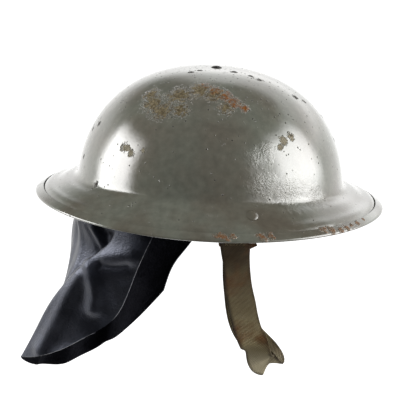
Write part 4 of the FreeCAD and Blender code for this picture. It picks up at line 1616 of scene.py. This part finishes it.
    def box_stitches(self, frames: list[dict]) -> Piece:
        """A stitched box with its cross on each face of each sewn end.

        Args:
            frames: the frames of the sewn parts.

        Returns:
            One piece with all the stitches.
        """
        first, half, margin = self.box
        paths = []
        for sewn in frames:
            last = sewn["reach"] - margin
            for face in (-1, 1):
                depth = self.apart + self.thick / 2 + 0.05
                corners = []
                for down, out in ((first, -half), (first, half), (last, half), (last, -half)):
                    corners.append(
                        sewn["bar"] + sewn["drop"] * down + sewn["line"] * out
                        + sewn["inner"] * face * depth
                    )
                order = (0, 1, 2, 3, 0, 2), (3, 1)
                paths += [np.array([corners[k] for k in part]) for part in order]
        thread = Thread("khaki_sewing_thread", "#9a8d68", "#5f553d")
        return Stitching(pitch=2.8, long=2.0, thick=0.5).sew("strap_stitches", paths, thread)

    def build(self) -> list[Piece]:
        """Builds the webbing and its stitches.

        Returns:
            The webbing and its stitches.
        """
        webbing, frames = self.webbing()
        KhakiWebbing().dress(webbing)
        stitches = self.box_stitches(frames)
        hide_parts("chin_strap", "right_strap_end", "left_strap_end")
        for piece in (webbing, stitches):
            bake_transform(piece)
        return [webbing, stitches]


@dataclass
class StrapSlide:
    """The brass slide on the left half of the strap: a rounded frame and a middle bar.

    Attributes:
        centre: its middle.
        along: the strap's direction there.
        across: the direction across the strap.
        inner_half: half the room that it leaves for the webbing.
        long: its length along the strap.
        bar: the thickness of its wire.
        rise: how far its ends stand off the webbing's middle.
        corner: the radius of its corners.
    """

    centre: tuple = (26.21, 72.8, -54.56)
    along: tuple = (-0.0609, 0.5411, 0.8387)
    across: tuple = (0.9732, -0.1544, 0.1702)
    inner_half: float = 13.9
    long: float = 18.0
    bar: float = 2.2
    rise: float = 2.5
    corner: float = 2.5

    def wire(self, corners: list[tuple], closed: bool) -> np.ndarray:
        """Rings of a soft square wire along a line given in the slide's own frame.

        Args:
            corners: places as across, along and square to the webbing, in millimetres.
            closed: whether the line returns to its start.

        Returns:
            The rings in the row's frame.
        """
        axes = np.array([self.across, self.along, np.cross(self.across, self.along)])
        line = np.array(corners)
        before = np.roll(line, 1, axis=0) if closed else np.concatenate([line[:1], line[:-1]])
        after = np.roll(line, -1, axis=0) if closed else np.concatenate([line[1:], line[-1:]])
        forward = unit(after - before)
        side = unit(np.cross(forward, np.array([0.0, 0.0, 1.0])))
        up = np.cross(side, forward)

        def soft(value: float) -> float:
            """A place on the wire's rounded square section."""
            return math.copysign(abs(value) ** 0.6, value) * self.bar / 2

        rings = []
        for k in range(12):
            turn = 2 * math.pi * (k + 0.5) / 12
            rings.append(line + side * soft(math.cos(turn)) + up * soft(math.sin(turn)))
        return np.stack(rings, axis=1) @ axes + np.array(self.centre)

    def build(self) -> list[Piece]:
        """Builds the frame and its bar and joins them in one piece.

        Returns:
            The slide.
        """
        half, reach = self.inner_half + self.bar / 2, (self.long - self.bar) / 2
        loop = []
        for x, y, first in ((1, 1, 0), (-1, 1, 90), (-1, -1, 180), (1, -1, 270)):
            for step in range(5):
                turn = math.radians(first + 22.5 * step)
                place = (
                    x * (half - self.corner) + self.corner * math.cos(turn),
                    y * (reach - self.corner) + self.corner * math.sin(turn),
                )
                # Both ends stand up off the webbing, and the sides lie level with it
                depth = self.rise if abs(place[1]) > reach - 0.8 else 0.0
                loop.append((*place, depth))
        frame_piece = swept("slide_frame", self.wire(loop, True), closed=True)
        # How far in from the frame, and the share of the rise that the bar dips there
        dips = ((0.0, 0.0), (1.4, 0.8), (3.0, 1.0))
        middle = [(-half + inward, 0.0, -self.rise * dip) for inward, dip in dips]
        middle += [(-x, y, z) for x, y, z in middle[::-1]]
        bar_piece = swept("slide_bar", self.wire(middle, False))
        work = bmesh.new()
        work.from_mesh(frame_piece.data)
        work.from_mesh(bar_piece.data)
        mesh = bpy.data.meshes.new("strap_slide_brass")
        work.to_mesh(mesh)
        work.free()
        for piece in (frame_piece, bar_piece):
            bpy.data.objects.remove(piece)
        slide = bpy.data.objects.new("strap_slide_brass", mesh)
        bpy.context.scene.collection.objects.link(slide)
        Metal("tarnished_brass", "#9c7a42", "#4e3a1f", 0.38).dress(slide)
        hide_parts("strap_slide")
        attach(slide, "strap_slide")
        return [slide]


@dataclass(frozen=True)
class Fold:
    """A soft fold in the curtain.

    Attributes:
        line: where it runs, as pairs of column and share of the fall.
        height: how far it stands out, or in if negative, in millimetres.
        wide: half its width in millimetres.
        grows: whether it starts from nothing at the top.
    """

    line: tuple
    height: float
    wide: float
    grows: bool = False


@dataclass
class NeckCurtain:
    """The oilcloth curtain: one sheet, studded to the hoop and folded as it hangs.

    Attributes:
        sheet: the cloth's thickness.
        band_top: how high its upper edge lies on the hoop.
        band: half length and half width of the oval that its upper strip follows.
        lines: where it falls, from the near edge round the rear to the far edge.
        bow_levels: shares of the fall at which the panels' bows are given.
        bows: how far the panel between two lines stands out at each level.
        hem_drops: how much lower a panel's hem hangs between its lines.
        columns: how many columns each panel has.
        folds: the folds pressed into it.
        rows: how many rows the hanging part has.
        band_rows: how many the strip on the hoop has.
        smoothing: how often the folds are rounded across the sheet.
        ripples: how many small random waves the cloth has.
        ripple: how high each of them is.
        swing: where the bend would start and end, in metres; not used.
    """

    sheet: float = 1.5
    band_top: float = 8.0
    band: tuple = (105.9, 88.9)
    lines: tuple = (
        (
            (-39.8, -82.8, -4.3), (-47, -86, -20), (-59, -76, -52), (-68.5, -63, -83),
            (-80, -53, -105), (-97, -45, -119),
        ),
        (
            (-72, -65.7, -4.3), (-79, -68, -21), (-89, -62, -37.3), (-97.5, -57, -46.2),
            (-104.4, -52, -55.1), (-121.7, -40, -76.5), (-137.6, -24, -104.6), (-161, 0, -157),
        ),
        (
            (-93, -43.3, -4.3), (-99.8, -52, -20), (-91.5, -52, -37.3), (-94.5, -47.5, -49.5),
            (-103, -42, -60), (-118, -31, -80), (-134, -15, -109), (-159, 5, -161),
        ),
        ((-106.3, 0, -4.3), (-117, -6, -23.6), (-118.5, -5, -54), (-122, 0, -90), (-146, 10, -168)),
        ((-75, 63.3, -4.3), (-78, 64, -26), (-80, 58, -60), (-80, 46, -96), (-86, 27, -146)),
        ((0, 89.3, -4.3), (-4, 87, -33), (-13, 80, -60), (-29, 69, -82), (-37, 58, -104)),
    )
    bow_levels: tuple = (0.0, 0.13, 0.5, 1.0)
    bows: tuple = (
        (2.5, 2.6, 3.0, 4.0), (3.0, -8.0, -1.0, 0.6), (6.0, 5.7, 5.0, 1.5),
        (13.0, 12.0, 9.0, 4.0), (11.0, 10.0, 7.0, 3.0),
    )
    hem_drops: tuple = (6.0, 0.0, 1.0, 7.0, 7.0)
    columns: tuple = (44, 26, 32, 44, 46)
    folds: tuple = (
        Fold(((38, 0.34), (30, 0.41), (21, 0.53), (16, 0.66)), 3.8, 7.0),
        Fold(((34, 0.25), (24, 0.25), (10, 0.25)), 2.0, 8.0),
        Fold(((30, 0.32), (20, 0.33), (9, 0.325)), -1.6, 4.0),
        Fold(((39, 0.42), (36, 0.55), (34, 0.75), (33, 0.95)), 3.6, 7.5),
        Fold(((78, 0.04), (74, 0.14), (68, 0.24)), -1.0, 3.0),
        Fold(((84, 0.08), (82, 0.3), (77, 0.5)), 1.2, 4.5),
        Fold(((89, 0.15), (87, 0.5), (86, 0.9)), -1.5, 5.0),
        Fold(((108, 0.15), (108, 0.6), (106, 1.0)), 4.0, 10.0, True),
        Fold(((122, 0.2), (122, 0.6), (120, 1.0)), -4.0, 10.0, True),
        Fold(((138, 0.15), (138, 0.6), (135, 1.0)), 3.5, 11.0, True),
        Fold(((156, 0.2), (155, 0.6), (152, 1.0)), -3.0, 11.0, True),
    )
    rows: int = 130
    band_rows: int = 9
    smoothing: int = 5
    ripples: int = 26
    ripple: float = 0.14
    swing: tuple = ((-0.099, 0.0, -0.008), (-0.099, 0.0, -0.042))

    def fall(self) -> np.ndarray:
        """The hanging part's middle surface, before its folds.

        Returns:
            Its places by row and column, in millimetres.
        """
        levels = np.linspace(0, 1, self.rows)
        lines = []
        for points in self.lines:
            given = np.array(points, dtype=float)
            knots = lengths(given)
            lines.append(spline(knots, given, levels * knots[-1]))
        panels = []
        for index, (left, right) in enumerate(zip(lines, lines[1:])):
            chord = right - left
            out = unit(np.stack([chord[:, 1], -chord[:, 0], np.zeros(self.rows)], axis=1))
            bow = np.interp(levels, self.bow_levels, self.bows[index])
            middle = (left + right) / 2 - out * bow[:, None]
            middle[:, 2] -= self.hem_drops[index] * levels**2
            s = np.linspace(0, 1, self.columns[index], endpoint=index == len(self.lines) - 2)
            a, b, c = (1 - s) * (1 - 2 * s), 4 * s * (1 - s), s * (2 * s - 1)
            panels.append(
                a[None, :, None] * left[:, None] + b[None, :, None] * middle[:, None]
                + c[None, :, None] * right[:, None]
            )
        return np.concatenate(panels, axis=1)

    def soften(self, grid: np.ndarray) -> np.ndarray:
        """Rounds the folds across the sheet and leaves its free edges.

        Args:
            grid: the sheet's places by row and column.

        Returns:
            The rounded sheet's places.
        """
        for _ in range(self.smoothing):
            inner = (grid[:, :-2] + 2 * grid[:, 1:-1] + grid[:, 2:]) / 4
            grid = np.concatenate([grid[:, :1], inner, grid[:, -1:]], axis=1)
        return grid

    def folded(self, grid: np.ndarray) -> np.ndarray:
        """Presses the folds and small ripples into the hanging part.

        Args:
            grid: the smooth sheet's places.

        Returns:
            The places on the folded sheet.
        """
        normal = unit(np.cross(np.gradient(grid, axis=1), np.gradient(grid, axis=0)))
        neck = np.array([-60.0, 0.0])
        outside = (normal[..., :2] * (grid[..., :2] - neck)).sum()
        normal *= np.sign(outside)
        share = np.linspace(0, 1, self.rows)[:, None]
        lift = np.zeros(grid.shape[:2])
        for fold in self.folds:
            marks = [grid[round(v * (self.rows - 1)), column] for column, v in fold.line]
            knots = lengths(np.array(marks))
            path = spline(knots, np.array(marks), np.linspace(0, knots[-1], int(knots[-1]) + 2))
            far = np.full(lift.shape, np.inf)
            for point in path:
                far = np.minimum(far, np.linalg.norm(grid - point, axis=2))
            bump = fold.height * np.exp(-((far / fold.wide) ** 2))
            lift += bump * share if fold.grows else bump
        draw = np.random.default_rng(41)
        for _ in range(self.ripples):
            wave = draw.normal(size=3) * 0.07
            lift += self.ripple * np.sin(grid @ wave + 6.3 * draw.random())
        return grid + normal * (lift * np.clip(share * 8, 0, 1))[..., None]

    def banded(self, grid: np.ndarray) -> np.ndarray:
        """Adds the strip that follows the hoop, above the hanging part.

        Args:
            grid: the hanging part's places.

        Returns:
            The places of the whole sheet.
        """
        top = grid[0]
        angle = np.arctan2(top[:, 1] / self.band[1], top[:, 0] / self.band[0])
        rows = []
        for height in np.linspace(self.band_top, -2.0, self.band_rows):
            rows.append(
                np.stack(
                    [
                        self.band[0] * np.cos(angle), self.band[1] * np.sin(angle),
                        np.full(len(angle), height),
                    ],
                    axis=1,
                )
            )
        return np.concatenate([np.array(rows), grid[1:]])

    def build(self) -> list[Piece]:
        """Builds the sheet and dresses it and its studs.

        Returns:
            The curtain and the studs that hold it.
        """
        grid = self.banded(self.folded(self.soften(self.fall())))
        curtain = sheeting("neck_curtain_oilcloth", grid, self.sheet)
        Oilcloth().dress(curtain)
        Metal("blackened_stud_steel", "#3b3835", "#1d1a18", 0.5, 0.6).dress(
            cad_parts["curtain_studs"]
        )
        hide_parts("curtain_band", "curtain_flex", "curtain_fall")
        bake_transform(curtain)
        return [curtain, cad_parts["curtain_studs"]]


# The studio


@dataclass
class Studio:
    """White surroundings, a softbox on each side, and the camera.

    Attributes:
        distance: from the camera to the rim's middle, in metres.
        elevation: how far above the rim's plane the camera stands, in degrees.
        roll: how far it is tilted, in degrees.
        lens: its focal length, for a film of the width below.
        film: the film's width.
        origin_at: how far right of the picture's middle and above it the rim's middle lies, in
            pixels of the photograph.
        pixels_per_metre: the photograph's scale there.
        floor_at: how high the floor lies, in metres.
        floor_half: half the floor's side, in metres.
        paper: the floor's colour.
        fill: the white world's strength for plain light.
        lamps_at: azimuth and elevation of each softbox as the camera sees it, its width and
            height in metres and its power.
        away: how far the softboxes stand, in metres.
        boxes: what the gloss shows of them: azimuth and elevation, half width and half height in
            degrees, and brightness.
        dark: the brightness of the rest of the room in the gloss.
        backdrop: the brightness of the white backdrop there.
        behind: the azimuth that faces the backdrop's middle, where it starts, and how far it
            takes to reach full brightness, in degrees.
        low: the elevation at which the backdrop starts to fade, and how far it takes.
        room: the radius of the room that the gloss shows, in metres.
    """

    distance: float = 2.144
    elevation: float = 13.16
    roll: float = 3.2
    lens: float = 218.6
    film: float = 36.0
    origin_at: tuple = (9.4, 3.7)
    pixels_per_metre: float = 1133.0
    floor_at: float = -0.6
    floor_half: float = 12.0
    paper: str = "#a8a8a8"
    fill: float = 0.5
    lamps_at: tuple = ((-92.0, 18.0, 1.5, 1.3, 36.0), (80.0, 20.0, 1.7, 1.4, 40.0))
    away: float = 2.2
    boxes: tuple = (
        (-89.0, 13.0, 22.0, 20.0, 10.0), (84.0, 21.0, 27.0, 25.0, 7.0),
        (66.0, 16.0, 34.0, 25.0, 2.2), (150.0, 32.0, 46.0, 18.0, 1.5),
    )
    dark: float = 0.08
    backdrop: float = 1.5
    behind: tuple = (-11.0, 58.0, 22.0)
    low: tuple = (12.0, 26.0)
    room: float = 2.9

    def seen(self, tree: bpy.types.NodeTree) -> Node:
        """The value 1 for what the camera sees, directly or by gloss, and 0 for plain light.

        Args:
            tree: the tree of the world or the floor.

        Returns:
            The node that gives the value.
        """
        path = add(tree, "ShaderNodeLightPath")
        either = add(
            tree, "ShaderNodeMath",
            {0: path.outputs["Is Camera Ray"], 1: path.outputs["Is Glossy Ray"]}, operation="MAXIMUM",
        )
        return add(
            tree, "ShaderNodeMath", {0: either, 1: path.outputs["Is Transmission Ray"]},
            operation="MAXIMUM",
        )

    def surroundings(self) -> None:
        """A white world and a wide white floor that keeps the helmet's shadow."""
        world = bpy.data.worlds.new("white_room")
        bpy.context.scene.world = world
        world.use_nodes = True
        tree = world.node_tree
        tree.nodes.clear()
        level = add(
            tree, "ShaderNodeMapRange",
            {"Value": self.seen(tree), "To Min": self.fill, "To Max": 1.0},
        )
        sky = add(tree, "ShaderNodeBackground", {"Color": "#ffffff", "Strength": level})
        add(tree, "ShaderNodeOutputWorld", {"Surface": sky})
        half, z = self.floor_half / MM, self.floor_at / MM
        corners = [(x * half, y * half, z) for x, y in ((-1, -1), (1, -1), (1, 1), (-1, 1))]
        floor = mesh_piece("floor", np.array(corners), [(0, 1, 2, 3)])
        made = bpy.data.materials.new("white_paper_floor")
        made.use_nodes = True
        tree = made.node_tree
        tree.nodes.clear()
        paper = add(tree, "ShaderNodeBsdfDiffuse", {"Color": self.paper})
        glow = add(
            tree, "ShaderNodeEmission", {"Color": "#ffffff", "Strength": self.seen(tree)}
        )
        both = add(tree, "ShaderNodeAddShader", {0: paper, 1: glow})
        # The paper is clear from below, so that the helmet's inside can be looked at
        below = add(tree, "ShaderNodeNewGeometry").outputs["Backfacing"]
        clear = add(tree, "ShaderNodeBsdfTransparent")
        both = add(tree, "ShaderNodeMixShader", {0: below, 1: both, 2: clear})
        add(tree, "ShaderNodeOutputMaterial", {"Surface": both})
        floor.data.materials.append(made)

    def lamps(self) -> None:
        """The softboxes' plain light, which the camera and the gloss don't show."""
        for number, (azimuth, elevation, wide, high, power) in enumerate(self.lamps_at):
            around, up = math.radians(azimuth), math.radians(elevation)
            lamp = bpy.data.lights.new(f"softbox_{number}", "AREA")
            lamp.shape = "RECTANGLE"
            lamp.size, lamp.size_y, lamp.energy = wide, high, power
            stand = bpy.data.objects.new(lamp.name, lamp)
            toward = (
                math.sin(around) * math.cos(up), -math.cos(around) * math.cos(up), math.sin(up),
            )
            stand.location = Vector(toward) * self.away
            stand.rotation_euler = stand.location.to_track_quat("Z", "Y").to_euler()
            stand.visible_camera = stand.visible_glossy = False
            bpy.context.scene.collection.objects.link(stand)

    def glow(self, azimuth: float, elevation: float) -> float:
        """How bright the room is in a direction: a white backdrop low down behind and at the
        sides, the softboxes, and darkness elsewhere.

        Args:
            azimuth: degrees round from the camera, to its right.
            elevation: degrees up.

        Returns:
            The level, where 1 is white.
        """

        def turned(middle: float) -> float:
            """How far round from an azimuth, the short way."""
            return abs((azimuth - middle + 180) % 360 - 180)

        def ease(value: float) -> float:
            """A soft step from 0 to 1."""
            short = min(max(value, 0.0), 1.0)
            return short * short * (3 - 2 * short)

        front, start, reach = self.behind
        foot, fade = self.low
        behind, low = ease((turned(front) - start) / reach), 1 - ease((elevation - foot) / fade)
        level = self.dark + (self.backdrop - self.dark) * behind * low
        for middle, height, wide, high, power in self.boxes:
            across = 1 - ease((turned(middle) / wide - 0.6) / 0.55)
            along = 1 - ease((abs(elevation - height) / high - 0.5) / 0.7)
            level += power * across * along
        return level

    def reflections(self) -> None:
        """The room that only reflections show, as a floor and a dome with their brightness."""
        ground = self.floor_at / MM + 8
        radius = self.room / MM
        lowest = math.degrees(math.asin(ground / radius))
        profile = [(r, ground, lowest) for r in (300.0, 700.0, 1300.0, 2000.0)]
        for up in np.linspace(lowest, 89.0, 30):
            turn = math.radians(up)
            profile.append((radius * math.cos(turn), radius * math.sin(turn), up))
        azimuths = np.linspace(-180.0, 180.0, 91)[:-1]
        points, faces, levels = [], [], []
        for azimuth in azimuths:
            turn = math.radians(azimuth)
            for r, z, up in profile:
                points.append((r * math.sin(turn), -r * math.cos(turn), z))
                levels.append(self.glow(azimuth, up))
        size = len(profile)
        for i in range(len(azimuths)):
            for j in range(size - 1):
                a, b = i * size + j, (i + 1) % len(azimuths) * size + j
                faces.append((a, a + 1, b + 1, b))
        room = mesh_piece("studio_room", np.array(points), faces)
        mark = room.data.attributes.new("glow", "FLOAT", "POINT")
        mark.data.foreach_set("value", levels)
        made = bpy.data.materials.new("studio_room_glow")
        made.use_nodes = True
        made.cycles.emission_sampling = "NONE"
        tree = made.node_tree
        tree.nodes.clear()
        level = add(tree, "ShaderNodeAttribute", attribute_name="glow")
        shine = add(
            tree, "ShaderNodeEmission",
            {"Color": "#ffffff", "Strength": level.outputs["Fac"]},
        )
        add(tree, "ShaderNodeOutputMaterial", {"Surface": shine})
        room.data.materials.append(made)
        room.visible_camera = room.visible_diffuse = room.visible_shadow = False

    def camera(self) -> None:
        """The camera at the photograph's angle, a little rolled."""
        up_angle, roll = math.radians(self.elevation), math.radians(self.roll)
        place = Vector((0.0, -math.cos(up_angle), math.sin(up_angle))) * self.distance
        back = place.normalized()
        right = Vector((1.0, 0.0, 0.0))
        up = back.cross(right)
        x_axis = right * math.cos(roll) + up * math.sin(roll)
        y_axis = up * math.cos(roll) - right * math.sin(roll)
        aim = -(x_axis * self.origin_at[0] + y_axis * self.origin_at[1]) / self.pixels_per_metre
        back = (place - aim).normalized()
        x_axis = (x_axis - back * x_axis.dot(back)).normalized()
        y_axis = back.cross(x_axis)
        turn = Matrix((x_axis, y_axis, back)).transposed().to_4x4()
        data = bpy.data.cameras.new("camera")
        data.lens, data.sensor_width = self.lens, self.film
        camera = bpy.data.objects.new("camera", data)
        camera.matrix_world = Matrix.Translation(place) @ turn
        bpy.context.scene.collection.objects.link(camera)
        bpy.context.scene.camera = camera

    def build(self) -> list[Piece]:
        """Sets up the studio, which adds no piece to the helmet."""
        self.surroundings()
        self.lamps()
        self.reflections()
        self.camera()
        bpy.context.scene.view_settings.view_transform = "Standard"
        return []


def main() -> None:
    """Builds the helmet and the studio round it, and reports each piece."""
    logging.basicConfig(level=logging.INFO, format="%(name)s: %(message)s")
    works = (
        PressedShell(), RimStrip(), Liner(), ChinStrap(), StrapSlide(), NeckCurtain(), Studio(),
    )
    for work in works:
        for piece in work.build():
            count = len(piece.data.polygons)
            log.info("%s: %s, %d faces", type(work).__name__, piece.name, count)
    bpy.context.view_layer.update()


if __name__ == "__main__":
    main()
